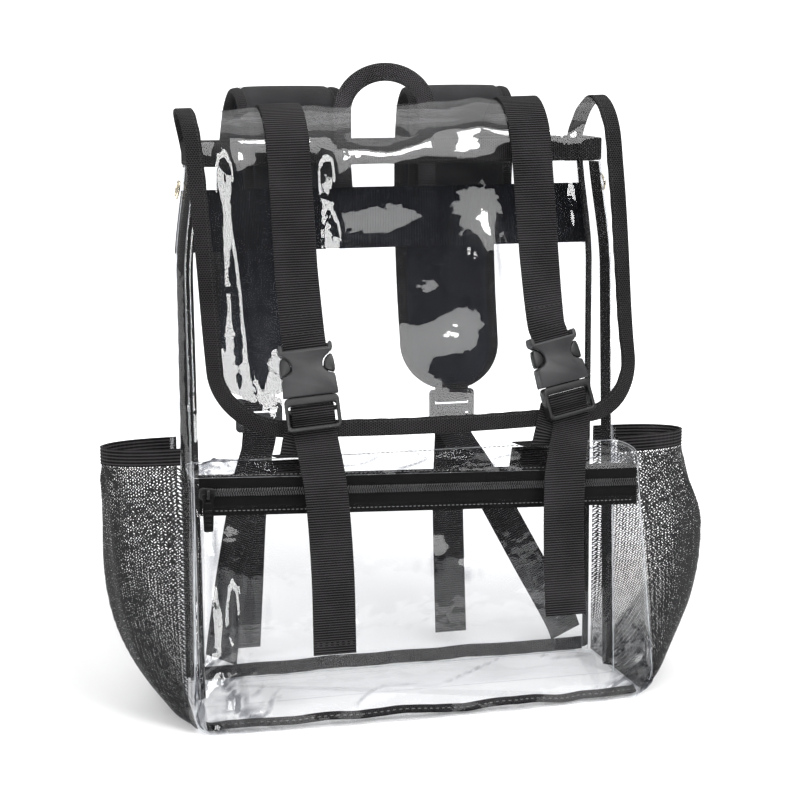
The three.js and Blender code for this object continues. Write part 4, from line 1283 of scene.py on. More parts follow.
class BACKPACK_OT_bindings(bpy.types.Operator):
    """Model the bound rim, the bound seams inside the corners and the band on the back."""
    bl_idname = "backpack.bindings"
    bl_label = "Bound seams"

    def execute(self, context):
        rim_z = BODY.rim_z + RIM.above
        frames = []
        for turn in np.linspace(0, 4, 560)[:-1]:
            place, outward = body_around(turn, BODY.rim_z - 1)
            frames.append((Vector((place.x, place.y, rim_z)), -Z_AXIS, outward))
        folded_tape("rim_binding_tape", ["rim_binding"], frames, RIM.width,
                    closed=True, channel=1.0)
        sewn = [place - Z_AXIS * (RIM.width - 2.4) for place, _, _ in frames]
        lines = seam(sewn, [outward for _, _, outward in frames])
        stitches("rim_binding_stitches", "binding", lines, 1.2)

        corners = ("seam_front_left", "seam_front_right", "seam_back_right", "seam_back_left")
        for wall, name in enumerate(corners):
            inward = Vector((1 if wall in (0, 3) else -1, 1 if wall < 2 else -1, 0)).normalized()
            outward = Z_AXIS.cross(inward)
            frames = []
            for z in np.linspace(SEAM.foot_z, SEAM.top_z, 388):
                tip = body_point(wall, 0, z) + inward * (0.8 + SEAM.corner)
                frames.append((tip, -inward, outward))
            folded_tape(f"{name}_tape", [name], frames, SEAM.corner,
                        length=SEAM.top_z - SEAM.foot_z, channel=0.6)
            lines = []
            for face in (1, -1):
                sewn = [p - inward * (SEAM.corner - 2.2) for p, _, _ in frames[::4]]
                lines += seam(sewn, outward * face)
            stitches(f"{name}_stitches", "binding", lines, 1.0)

        frames = []
        for turn in np.linspace(2.08, 2.92, 300):
            place, outward = body_around(turn, 7.4)
            tip = place - outward * (2.6 + 2.0 * waves(place.x, 0, 8.1, 34))
            rise = 1.6 * waves(place.x, 0, 3.6, 40)
            frames.append((Vector((tip.x, tip.y, 2.8 + SEAM.width + rise)), -Z_AXIS, outward))
        folded_tape("seam_base_back_tape", ["seam_base_back"], frames, SEAM.width,
                    channel=0.6)
        self.pocket_foot()
        self.back_band()
        return {"FINISHED"}

    @staticmethod
    def pocket_foot():
        """The bound seam that lies inside the pocket along its lower front edge, with stitches painted pale
        as glints.
        """
        to_seam, out = Vector((0, -0.94, -0.34)).normalized(), Vector((0, -0.34, 0.94)).normalized()
        frames = []
        for t in np.linspace(0.05, 0.95, 330):
            foot = pocket_front(t, 3.0)
            back = 10.5 + 4 * waves(foot.x, 0, 2.9, 46) + 2 * waves(foot.x, 0, 6.1, 17)
            rise = 6.8 + 2.6 * waves(foot.x, 0, 9.3, 38)
            frames.append((Vector((foot.x, foot.y + back, rise)), to_seam, out))
        folded_tape("pocket_foot_tape", [], frames, SEAM.corner, channel=0.6)
        sewn = [p + to_seam * 5.2 for p, _, _ in frames]
        stitches("pocket_foot_stitches", "binding", seam(sewn, out, 1.3), 1.0, material="thread_painted_glint")

    @staticmethod
    def back_band():
        """The felt band across the back that carries the handle and the shoulder pads."""
        def surface(u, v):
            z = lerp(BACK_BAND.foot_z, BACK_BAND.top_z, v)
            place, outward = body_around(2 + lerp(0.02, 0.98, u), z)
            return place + outward * (0.5 + 1.8 * GAP + BACK_BAND.thick / 2)

        def ripple(u, v):
            return 0.12 * waves(u * 300, v * 44, 5.5, 22)

        sheet("back_band_cloth", "felt", "back_band", (surface, (300, 44), 3.5, ripple),
              BACK_BAND.thick * MM * 0.85, ["band_cloth"], "stretched", ["back_panel_sheet"])
        lines = []
        spans = np.linspace(0.01, 0.99, 120)
        for share in (0.07, 0.93):
            outs = [body_around(2 + lerp(0.02, 0.98, u), 336)[1] for u in spans]
            lines += seam([surface(u, share) for u in spans], outs)
        stitches("back_band_stitches", "felt", lines, 0.72)


# Zip

class BACKPACK_OT_zip(bpy.types.Operator):
    """Model the zip's tapes, its coil, its runner and the pull."""
    bl_idname = "backpack.zip"
    bl_label = "Zip"

    # The pocket top's depth, how far behind the zip it is sewn, and the run over which a tape bends behind it
    TOP_DEPTH = 40
    SEWN_BEHIND = 2.6
    BEND = 1.6
    # How far a tape lies behind the sheet that it is sewn to
    UNDER = 1.15

    def execute(self, context):
        self.tapes()
        self.coil()
        self.runner()
        return {"FINISHED"}

    @classmethod
    def hidden_lower(cls, x, down):
        """A place of the lower tape behind the pocket's front, down in mm below the bare tape."""
        z = zip_z(x) - ZIP.teeth / 2 - GAP - ZIP.tape - down
        half = lerp(POCKET.half_foot, POCKET.half_top, z / POCKET.top_z) - POCKET.corner
        t = lerp(ARC_SHARE, 1 - ARC_SHARE, clamp((x + half) / (2 * half)))
        return Vector((x, pocket_front(t, z).y + cls.UNDER, z))

    @classmethod
    def tapes(cls):
        bare = ZIP.tape + ZIP.teeth / 2
        whole = bare + ZIP.hidden

        def bare_place(x, run, hand):
            """A place of the bare tape, run in mm from the coil's middle; the edge lies behind the coil."""
            behind = 0.9 * smoothstep(run, ZIP.teeth / 2 + 0.6, ZIP.teeth / 2 - 0.6)
            return Vector((x, zip_y(x) + behind, zip_z(x) + hand * (GAP + min(run, bare))))

        def upper(u, v):
            x, run = lerp(ZIP.half, -ZIP.half, u), v * whole
            back = max(run - bare, 0)
            under = Vector((x, zip_y(x) + back, pocket_top_z(x, 1 - back / cls.TOP_DEPTH) - cls.UNDER))
            return bare_place(x, run, 1).lerp(under, smoothstep(back, 0, cls.BEND))

        def lower(u, v):
            x, run = lerp(-ZIP.half, ZIP.half, u), v * whole
            behind = cls.hidden_lower(x, run - bare)
            return bare_place(x, run, -1).lerp(behind, smoothstep(run - bare, 0, cls.BEND))

        for name, surface, neighbour in (
            ("zip_tape_upper", upper, "pocket_top_sheet"), ("zip_tape_lower", lower, "pocket_front_sheet"),
        ):
            sheet(f"{name}_cloth", "zip", name, (surface, (2 * ZIP.half, whole), 1.2), 0.7 * MM,
                  ["zip_tape_cloth"], "stretched", [neighbour])

        spans = np.linspace(-ZIP.half + 4, ZIP.half - 4, 160)
        lower_row = [cls.hidden_lower(x, 3.0) - Y_AXIS * 1.5 for x in spans]
        back = cls.SEWN_BEHIND
        upper_row = [
            Vector((x, zip_y(x) + back, pocket_top_z(x, 1 - back / cls.TOP_DEPTH) + 0.3)) for x in spans]
        lines = []
        for row, out in ((lower_row, -Y_AXIS), (upper_row, Vector((0, -0.35, 1)).normalized())):
            lines += seam(row, out, 0.9)
        # Pale stitches: painted glints at the stitch holes
        stitches("zip_stitches", "zip", lines, 0.15, material="thread_painted_glint", scale=0.8)
        rear = [pocket_top(a, 0.1) + Vector((0, 0, 0.35)) for a in np.linspace(-0.97, 0.97, 160)]
        stitches("pocket_top_stitches", "clear_pvc", seam(rear, Z_AXIS), 0.15)

    @staticmethod
    def coil():
        """The closed coil: a core along the zip and slanted loops in two rows."""
        spans = np.linspace(-ZIP.half, ZIP.half, 90)
        frames = [(Vector((x, zip_y(x) + 0.2, zip_z(x))), Z_AXIS, -Y_AXIS) for x in spans]
        core = swept("zip_coil", frames, lambda row: band_section(4.6, 0.9))
        lines = []
        count = round(2 * ZIP.half / ZIP.pitch)
        for i in range(count):
            for row, hand in ((0.0, 1), (0.5, -1)):
                x = -ZIP.half + (i + 0.25 + row) * ZIP.pitch
                place = Vector((x, zip_y(x) - 0.35, zip_z(x) + hand * 1.35))
                lines.append((place, Vector((0.3, 0, hand)).normalized(), -Y_AXIS))
        scale = 3.3 / (bpy.context.scene.pack_stitch.length / MM)
        # The loops wear their painted highlight colour
        loops = stitches("zip_loops", None, lines, 0.15, material="coil_loop_highlight", scale=scale, fatness=1.5)
        dress(core, "coil_nylon")
        only(core, loops)
        bpy.ops.object.join()
        smooth(core, 60)
        settle(core, "zip", "zip_teeth")

    @staticmethod
    def runner():
        """The zip's runner with its bridge, and the hanging pull."""
        x = SLIDER.x
        face_y = zip_y(x) - ZIP.thick / 2 - GAP - SLIDER.thick
        quarter = {axis: Matrix.Rotation(math.pi / 2, 4, axis) for axis in "XYZ"}
        upright = Matrix.Translation((x, face_y, zip_z(x))) @ quarter["X"]
        outline = [(-5.5, -2.4), (-4.6, -3.8), (-2.6, -4.2), (3.2, -3.3), (5.4, -2.2), (5.4, 2.2), (3.2, 3.3),
                   (-2.6, 4.2), (-4.6, 3.8), (-5.5, 2.4)]
        body = plate(outline, -SLIDER.thick, 0, bevel=0.55)
        arch, opening = rectangle((-3.5, 3.5), (-0.9, 4.1), 1.4), rectangle((-2.3, 2.3), (-0.2, 2.95), 0.8)
        bridge = ring_plate(arch, opening, -0.85, 0.85, bevel=0.3)
        bridge.data.transform(quarter["Y"] @ quarter["Z"])
        combine(body, [bridge])
        hard_piece(body, "zip_runner", upright, "plastic", "zip_slider", "plug_plastic")

        half, bar, end = PULL.half, PULL.bar, PULL.length
        outer = rectangle((-half, half), (-end, bar), 1.6, 5)
        outer = [(px * (1 - 0.2 * clamp((bar - py) / end)), py) for px, py in outer]
        inner = rectangle((-PULL.hole_half, PULL.hole_half), (-PULL.hole_end, -bar - 0.2), 0.5, 5)
        tab = ring_plate(outer, inner, -PULL.thick / 2, PULL.thick / 2, bevel=0.28)
        ridges = []
        for step in range(4):
            low = -11.5 - 3.2 * step
            ridges.append(plate(rectangle((-2.3, 2.3), (low - 0.7, low + 0.7), 0.6), -0.95, 0.95, bevel=0.25))
        combine(tab, ridges)
        seat = Matrix.Translation((x, face_y + PULL.axis_y, zip_z(x))) @ quarter["X"]
        hard_piece(tab, "zip_pull_tab", seat, "zip", "zip_pull", "coil_nylon", body="zip_pull")


# Mesh pockets and eyelets

class BACKPACK_OT_mesh_pockets(bpy.types.Operator):
    """Model the knitted side pockets with their elastic mouths."""
    bl_idname = "backpack.mesh_pockets"
    bl_label = "Mesh pockets"

    def execute(self, context):
        gather = context.scene.pack_mesh.gather / MM
        for side, hand in SIDES.items():
            mouth_z = MESH.top_z[side] - MESH.band

            def surface(u, v, side=side, hand=hand, mouth_z=mouth_z):
                s = u if hand > 0 else 1 - u
                return mesh_point(side, s, lerp(MESH.foot_z, mouth_z - GAP, v ** 1.4))

            def ripple(u, v, hand=hand):
                x, y = u * 130, v * 175
                fade = edge_fade(u, v, 0.12, 0.05)
                sway = 2.2 * waves(x, y * 0.4, 1.3 + hand, 60)
                pleats = math.sin(x * 0.23 + sway) * smoothstep(v, 0.25, 1.0)
                folds = 1.4 * creases(x + y * 0.25, y * 0.35, 4.8 + hand, 36) - 0.6
                return gather * fade * (0.4 * pleats + 0.75 * folds)

            name = f"mesh_pocket_{side}"
            sheet(f"{name}_knit", "mesh", name, (surface, (150, 172), 2.6, ripple), 0.45 * MM, ["knit_mesh"],
                  "gathered", [f"side_panel_{side}_sheet"], shaped=True)

            frames = []
            middle_z = mouth_z + MESH.band / 2
            for s in np.linspace(0, 1, 260):
                here = mesh_point(side, s, middle_z)
                along = mesh_point(side, s + 0.002, middle_z) - mesh_point(side, s - 0.002, middle_z)
                outward = Vector((along.y, -along.x, 0)).normalized() * hand
                frames.append((here, Z_AXIS, outward))
            band = swept(f"mesh_band_{side}_elastic", frames, self.elastic_section)
            settle(smooth(dress(band, "elastic"), 75), "webbing", f"mesh_band_{side}")
            line_length(places_of(frames))
        return {"FINISHED"}

    @staticmethod
    def elastic_section(row):
        """Elastic with five lengthwise ridges, a little puckered along its run."""
        half, rise = MESH.band / 2 - 0.1, MESH.band_thick / 2 - 0.25
        pucker = 0.1 * math.sin(row * 0.9) + 0.06 * math.sin(row * 0.37)
        upper = [(-half, 0)]
        for k in range(21):
            a = lerp(-half + 0.3, half - 0.3, k / 20)
            upper.append((a, rise + 0.22 * math.cos(2 * math.pi * k / 4) + pucker))
        upper.append((half, 0))
        return upper + [(a, -b + 2 * pucker if abs(a) < half else b) for a, b in upper[-2:0:-1]]


class BACKPACK_OT_eyelets(bpy.types.Operator):
    """Model the plated eyelets near the rim."""
    bl_idname = "backpack.eyelets"
    bl_label = "Eyelets"

    # Sides of the ring's section, steps of its turn and how much wider than high the section is
    SECTION_SIDES = 14
    TURN_STEPS = 32
    WIDER = 1.38

    def execute(self, context):
        for side, hand in SIDES.items():
            def wall(z, hand=hand):
                p = body_point(1, 0.5, z)
                return Vector((hand * p.x, p.y, z))

            slope = (wall(EYELET.z + 6) - wall(EYELET.z - 6)).normalized()
            outward = (X_AXIS * hand - slope * (hand * slope.x)).normalized()
            deselect()
            bpy.ops.mesh.primitive_circle_add(
                vertices=self.SECTION_SIDES, radius=1.0, fill_type="NOTHING",
                location=(EYELET.middle, 0, 1.0), rotation=(math.pi / 2, 0, 0))
            ring = bpy.context.object
            bpy.ops.object.transform_apply(location=True, rotation=True)
            points = read_points(ring.data)
            points[:, 0] = EYELET.middle + (points[:, 0] - EYELET.middle) * self.WIDER
            points[:, 2] = np.where(points[:, 2] < 0.5, 0.15 + 0.3 * points[:, 2], points[:, 2] * 0.95)
            points[:, 2] += np.where(points[:, 0] < EYELET.middle - 0.5, 0.18, 0.0)
            write_points(ring.data, points)
            edit_all(ring)
            bpy.ops.mesh.spin(steps=self.TURN_STEPS, angle=2 * math.pi, center=(0, 0, 0), axis=(0, 0, 1))
            bpy.ops.mesh.select_all(action="SELECT")
            bpy.ops.mesh.remove_doubles(threshold=0.01)
            end_edit()
            turn = outward.to_track_quat("Z", "Y").to_matrix().to_4x4()
            seat = Matrix.Translation(wall(EYELET.z) + outward * 0.75) @ turn
            hard_piece(ring, f"eyelet_{side}_ring", seat, "metal", f"eyelet_{side}", "eyelet_plate")
        return {"FINISHED"}


# Straps, buckles and handle

class BACKPACK_OT_straps(bpy.types.Operator):
    """Model the straps over the flap and the lower straps with their tails."""
    bl_idname = "backpack.straps"
    bl_label = "Flap straps"

    # In the buckle's own drawing: rows (y, z, share of the slant) up behind it, rows (y, z) round its bar
    # and down, and rows (y, z) into its upper slot
    RISE = ((-46, -4.2, 0.4), (-38.5, -1.2, 1), (-32, -0.9, 1), (-24, -0.9, 1))
    TURN = ((-16.6, -0.9), (-13.9, 0.4), (-13.5, 2.4), (-14.2, 4.4), (-16.6, 5), (-19.6, 4.6), (-22.6, 3.2),
            (-24.8, 1.6), (-28, 1.2), (-33, 1.3))
    ENTRY = ((35, 2.9), (31, 3.6), (27, 3.9), (21.5, 3.9))
    # Where the rising strap's slant starts, a strap's gap to the flap, and half a row of stitches
    RISE_PIVOT = -14
    CLEAR = 0.9
    STITCH_HALF = 13.5

    def execute(self, context):
        for side, strap in STRAPS.items():
            seat, middle = buckle_seat(strap)
            across = (seat.to_3x3() @ X_AXIS).normalized()

            def in_buckle(y, z, seat=seat):
                return seat @ Vector((0, y, z))

            lift = self.CLEAR + WEB / 2
            runs = [*np.linspace(0, 96, 17), *np.linspace(110, middle - 84, 7)]
            places = [on_flap(strap_x(strap, run), run, lift) for run in runs]
            sides = [flap_axes(strap_x(strap, run), run)[0] for run in runs]
            places += [in_buckle(y, z) for y, z in self.ENTRY]
            sides += [across] * len(self.ENTRY)
            route = Route(places, sides)
            webbing(f"flap_strap_{side}_web", [f"flap_strap_{side}"], route, WEB_WIDTH)
            lines = self.rows(route, (12.5, 14.6, 27.5))
            stitches(f"flap_strap_{side}_stitches", "webbing", lines, 0.64)

            anchor_y = body_plan(POCKET.rear_z)[1] - BODY.bulge[0] - 1.7
            slant = math.radians(strap.turn)
            places, sides = [Vector((strap.anchor_x, anchor_y, POCKET.rear_z + 2.2))], [X_AXIS]
            for y, z, share in self.RISE:
                places.append(seat @ Vector(((y - self.RISE_PIVOT) * math.tan(slant), y, z)))
                leaning = Vector((math.cos(slant * share), -math.sin(slant * share), 0))
                sides.append((seat.to_3x3() @ leaning).normalized())
            places += [in_buckle(y, z) for y, z in self.TURN]
            sides += [across] * len(self.TURN)
            tail_x = strap.tail_x
            leaving_x = lerp(seat.translation.x, tail_x, 0.6)
            tail = ((leaving_x, -58, 165), (tail_x, -66, 110), (tail_x, -72, strap.tail_z))
            places += [Vector(place) for place in tail]
            sides += [X_AXIS] * len(tail)
            route = Route(places, sides)
            webbing(f"lower_strap_{side}_web", [f"lower_strap_{side}"], route, WEB_WIDTH,
                    thick=1.1)
            lines = self.rows(route, (6.5, 8.2)) + self.sewn_foot(side, strap)
            stitches(f"lower_strap_{side}_stitches", "webbing", lines, 0.6)
        return {"FINISHED"}

    @staticmethod
    def sewn_foot(side, strap):
        """Model a lower strap's end, sewn flat below the pocket's rear seam, and list its stitches."""
        low, high = 154, POCKET.rear_z - 1.4
        lean = math.tan(math.radians(strap.lean))

        def place(z):
            front = body_plan(z)[1] - BODY.bulge[0] - 1.2
            return Vector((strap.anchor_x + (z - high) * lean, front, z))

        route = Route([place(z) for z in np.linspace(high, low, 8)])
        webbing(f"lower_strap_{side}_foot", [], route, WEB_WIDTH, thick=1.0)
        lower, upper = (cross_seam(place(z), X_AXIS, -Y_AXIS, 13) for z in (low + 4, high - 4))
        return lower + upper

    @classmethod
    def rows(cls, route, backs):
        """Rows of stitches across a strap, each measured back from the strap's end."""
        lines = []
        for back in backs:
            lines += cross_seam(*route.frame_at(route.length - back), cls.STITCH_HALF)
        return lines


class BACKPACK_OT_buckles(bpy.types.Operator):
    """Model the side-release buckles."""
    bl_idname = "backpack.buckles"
    bl_label = "Buckles"

    # Outlines of the right half as (x, y): the socket's plate and ears, the plug's side pads and sprung arms
    WAIST = ((17.7, 25.0), (17.4, 22.9), (16.0, 21.2), (13.8, 19.8), (11.9, 17.7), (10.8, 15.2), (10.5, 12.6),
             (11.2, 10.1), (13.0, 8.3), (15.6, 7.3), (17.8, 6.5), (18.4, 4.6), (19.0, -7.0))
    EAR = ((15.6, 21.6), (17.9, 22.4), (18.6, 24.4), (18.5, 27.2), (17.8, 28.8), (16.5, 28.7), (15.6, 27.2))
    PAD = ((11.9, 10.5), (11.3, 12.6), (11.6, 15.0), (12.6, 17.3), (14.4, 19.2), (16.5, 20.4), (17.9, 19.6),
           (18.6, 16.5), (18.9, 12.5), (18.8, 9.0), (18.0, 7.3), (15.9, 8.1), (13.6, 9.0))
    ARM = ((8.2, -8.6), (13.6, -8.6), (13.6, 7.8), (15.2, 10.2), (14.8, 16.0), (12.4, 16.0), (8.2, 5.0))

    def execute(self, context):
        for side, strap in STRAPS.items():
            seat, _ = buckle_seat(strap)
            for name, make, material in (
                (f"buckle_socket_{side}", self.socket, "buckle_plastic"),
                (f"buckle_plug_{side}", self.plug, "plug_plastic"),
            ):
                hard_piece(make(), f"{name}_part", seat, "plastic", name, material)
        return {"FINISHED"}

    @staticmethod
    def on_both_sides(outline, low, high, bevel):
        """The same plate on the right and, mirrored, on the left."""
        return [plate(outline, low, high, bevel=bevel),
                plate([(-x, y) for x, y in outline[::-1]], low, high, bevel=bevel)]

    def socket(self):
        """A narrow-waisted front and back plate, side walls, and ears with a bar for the strap."""
        front = plate(mirrored(self.WAIST), 5.1, 8.6, crown=0.45, bevel=0.5)
        parts = [plate(mirrored(self.WAIST), 0.0, 2.3, bevel=0.4)]
        wall = ((14.9, -6.9), (18.9, -6.9), (18.3, 5.8), (14.9, 5.8))
        parts += self.on_both_sides(wall, 1.9, 5.6, 0.3)
        parts += self.on_both_sides(self.EAR, 0.1, 8.9, 0.6)
        parts.append(plate(rectangle((-16.4, 16.4), (25.4, 28.2), 1.0), 0.3, 2.7, bevel=0.5))
        return combine(front, parts)

    def plug(self):
        """A rounded frame with a bar for the webbing and two sprung arms with side pads."""
        outer = rectangle((-18.8, 18.8), (-31, -7.5), 3.4, 6)
        inner = rectangle((-16.5, 16.5), (-28.0, -12.9), 1.8, 6)
        body = ring_plate(outer, inner, 0.8, 8.2, bevel=0.75, segments=4)
        combine(body, [plate(rectangle((-15.9, 15.9), (-34, -25.2), 0.5), -1, 2.8, bevel=0)], "DIFFERENCE")
        parts = [plate(rectangle((-17, 17), (-18.4, -15.2), 0.8), 1.2, 3.6, bevel=0.5),
                 plate(rectangle((-17, 17), (-12.4, -7.8), 0.6), 1.1, 4.6, bevel=0.4),
                 plate(rectangle((-13.4, 13.4), (-10.0, -4.6), 0.6), 2.8, 4.6, bevel=0.3)]
        parts += self.on_both_sides(self.ARM, 2.7, 4.7, 0.35)
        parts += self.on_both_sides(self.PAD, 1.4, 7.0, 0.8)
        return combine(body, parts)


class BACKPACK_OT_handle(bpy.types.Operator):
    """Model the carry handle."""
    bl_idname = "backpack.handle"
    bl_label = "Handle"

    # How far each seam lies from the handle's middle line
    SEAM_AT = 4.4

    def execute(self, context):
        half, rise = HANDLE.half - HANDLE.width / 2, HANDLE.rise - HANDLE.width / 2
        places = [(-half, z) for z in np.linspace(HANDLE.foot_z, HANDLE.spring_z, 24)[:-1]]
        for turn in np.linspace(math.pi, 0, 60):
            places.append((half * math.cos(turn), HANDLE.spring_z + rise * math.sin(turn)))
        places += [(-x, z) for x, z in places[22::-1]]
        route = Route([(x, HANDLE.y, z) for x, z in places])
        frames = []
        for run in np.linspace(0, route.length, round(route.length / TAPE_ROW)):
            onward = (route.at(run + 0.5) - route.at(run - 0.5)).normalized()
            frames.append((route.at(run), onward.cross(-Y_AXIS).normalized(), -Y_AXIS))
        piece = swept("handle_web", frames, self.section)
        settle(smooth(dress(piece, "handle_tape"), 75), "webbing", "handle")
        lines = []
        for face in (1, -1):
            for a in (-self.SEAM_AT, self.SEAM_AT):
                row = [p + side * a for p, side, _ in frames[::3]]
                lines += seam(row, -Y_AXIS * face)
        stitches("handle_stitches", "webbing", lines, 1.45)
        return {"FINISHED"}

    @classmethod
    def section(cls, row):
        """A folded strap: full in the middle, pressed flat along its two seams."""
        half, rise = HANDLE.width / 2, HANDLE.thick / 2
        pinch = 0.06 if row % 2 else 0.0
        left = [(-half, 0), (-half + 0.25, 0.8), (-half + 0.8, 1.35 - pinch), (-cls.SEAM_AT, 1.3),
                (-3.4, rise - 0.15 - pinch), (-1.2, rise - pinch)]
        upper = left + [(-a, b) for a, b in left[::-1]]
        return upper + [(a, -b) for a, b in upper[-2:0:-1]]


class BACKPACK_OT_shoulder_straps(bpy.types.Operator):
    """Model the padded shoulder straps, their ladder locks, webbing and tails."""
    bl_idname = "backpack.shoulder_straps"
    bl_label = "Shoulder straps"

    # Shares of a pad's half width: its section's places, its seam and where its bound edge starts
    ACROSS = (0, 0.16, 0.32, 0.47, 0.6, 0.69, 0.74, 0.775, 0.8, 0.825, 0.86, 0.9, 0.94, 0.97, 0.99)
    SEAM_AT = 0.8
    BOUND_FROM = 0.84

    def execute(self, context):
        for side, shoulder in SHOULDERS.items():
            self.pad(side, shoulder)
            self.lock(side, shoulder)
            self.webs(side, shoulder)
        return {"FINISHED"}

    def pad(self, side, shoulder):
        """A crowned pad with a bound edge: outer cloth on one face, felt on the other."""
        route = Route([(0, y, z) for y, z in PAD_PROFILE])
        count = 190
        frames, widths, fills = [], [], []
        for i in range(count + 1):
            u = i / count
            run = u * route.length
            place = route.at(run)
            place.x = lerp(shoulder.seam_x, shoulder.end_x, u)
            onward = (route.at(run + 0.6) - route.at(run - 0.6)).normalized()
            left = route.length - run
            cut = 1 if left >= PAD.round else math.sqrt(1 - 0.94 * (1 - left / PAD.round) ** 2)
            frames.append((place, X_AXIS, X_AXIS.cross(onward).normalized()))
            widths.append(PAD.width / 2 * cut)
            fills.append(min(1, 0.35 + 0.65 * math.sqrt(clamp(min(run, left) / 9))))
        shares = [-s for s in self.ACROSS[:0:-1]] + list(self.ACROSS)

        def section(row):
            half, fill = widths[row] - 0.2, fills[row]
            upper = [(s * half, self.rise(s, row) * fill) for s in shares]
            return [(-half, 0), *upper, (half, 0)] + [(a, -b) for a, b in upper[::-1]]

        nylon, felt, tape = range(3)
        bound = [abs(a + b) / 2 > self.BOUND_FROM for a, b in zip([-1, *shares], [*shares, 1])]
        groups = [tape if edge else nylon for edge in bound]
        groups += [tape if edge else felt for edge in bound[::-1]]
        piece = swept(f"shoulder_pad_{side}_cushion", frames, section, groups)
        dress(piece, "pad_nylon", "felt_cloth", "binding_tape")
        smooth(piece, 60)
        settle(piece, "padding", f"shoulder_pad_{side}")
        lines = []
        sewn = list(zip(frames, widths))[4:-9:2]
        for face in (1, -1):
            for hand in (-1, 1):
                row = [place + X_AXIS * hand * width * self.SEAM_AT for (place, _, _), width in sewn]
                lines += seam(row, [outward * face for (_, _, outward), _ in sewn])
        stitches(f"shoulder_pad_{side}_stitches", "padding", lines, PAD.thick / 2 - 1.1)

    def rise(self, share, row):
        """Half the pad's thickness across its width: crowned, pinched at the seam, thin at the bound edge."""
        full = PAD.thick / 2 - 0.15
        across = abs(share)
        groove = 1.15 * math.exp(-((across - self.SEAM_AT) / 0.035) ** 2)
        thinning = math.sqrt(max(0.0, 1 - (across / 1.01) ** 10))
        crown = full * 0.82
        if across < self.SEAM_AT:
            crown = full * (0.86 + 0.14 * (1 - (across / self.SEAM_AT) ** 2))
        return max(0.35, crown * thinning - groove + 0.08 * waves(share * 30, row * 1.8, 7.7, 14))

    @staticmethod
    def lock(side, shoulder):
        """A ladder lock: a rounded frame with two slots and a lifted lower lip."""
        half, height, thick = LOCK.half, LOCK.height, LOCK.thick
        frame = rectangle((-half, half), (-height, 0), 3.2, 5)
        body = plate(frame, 0.3, thick - 0.3, bevel=0.9, segments=4)
        slots = [plate(rectangle((-14, 14), (z - 1.5, z + 1.5), 0.7), -1, thick + 1, bevel=0)
                 for z in (-10.4, -19.4)]
        combine(body, slots, "DIFFERENCE")
        lip = rectangle((-14.6, 14.6), (-height + 0.5, -height + 3.4), 1.2)
        combine(body, [plate(lip, thick - 1, thick - 0.05, bevel=0.35)])
        turn = Matrix.Rotation(math.pi / 2, 4, "X")
        seat = Matrix.Translation((shoulder.end_x, LOCK.y + thick / 2, LOCK.top_z)) @ turn
        name = f"ladder_lock_{side}"
        hard_piece(body, f"{name}_part", seat, "plastic", name, "buckle_plastic")

    @staticmethod
    def webs(side, shoulder):
        """The webbing from the lock to the foot of the bag, and its free tail."""
        end_x, foot_x, tail_x = shoulder.end_x, shoulder.foot_x, shoulder.tail_x
        beside = LOCK.thick / 2 + GAP + WEB / 2
        slot_z = LOCK.top_z - 19
        slanted = Vector((0.91, 0, math.copysign(0.41, foot_x)))
        foot_y = body_plan(14)[2] + 0.5 + 2 * GAP + WEB / 2
        down = [(end_x, LOCK.y - beside, slot_z), (end_x, LOCK.y - beside - 0.6, slot_z - 10),
                (lerp(end_x, foot_x, 0.28), 112, 128), (lerp(end_x, foot_x, 0.68), 80, 68),
                (lerp(end_x, foot_x, 0.96), foot_y + 4, 24), (foot_x, foot_y, 15)]
        tail = [(end_x, LOCK.y + beside, slot_z), (end_x, LOCK.y + beside, slot_z - 10),
                (lerp(end_x, tail_x, 0.4), 122, 110), (lerp(end_x, tail_x, 0.75), 104, 50), (tail_x, 90, 9)]
        bar_y = LOCK.thick / 2 + 0.85
        near = [(-1.2, 6), (-bar_y, 0.5), (-bar_y, -6), (-bar_y + 0.8, -9)]
        round_bar = [*near, (0, -9.6), *[(-y, z) for y, z in near[::-1]]]
        loop = [(end_x, LOCK.y + y, LOCK.top_z + z) for y, z in round_bar]
        for name, in_cad, places, sides in (
            ("shoulder_webbing", True, down, [X_AXIS] * 2 + [slanted] * 4),
            ("webbing_tail", True, tail, None),
            ("lock_loop", False, loop, None),
        ):
            nodes = [f"{name}_{side}"] if in_cad else []
            webbing(f"{name}_{side}_web", nodes, Route(places, sides), STRAP_WEB)


# Stage

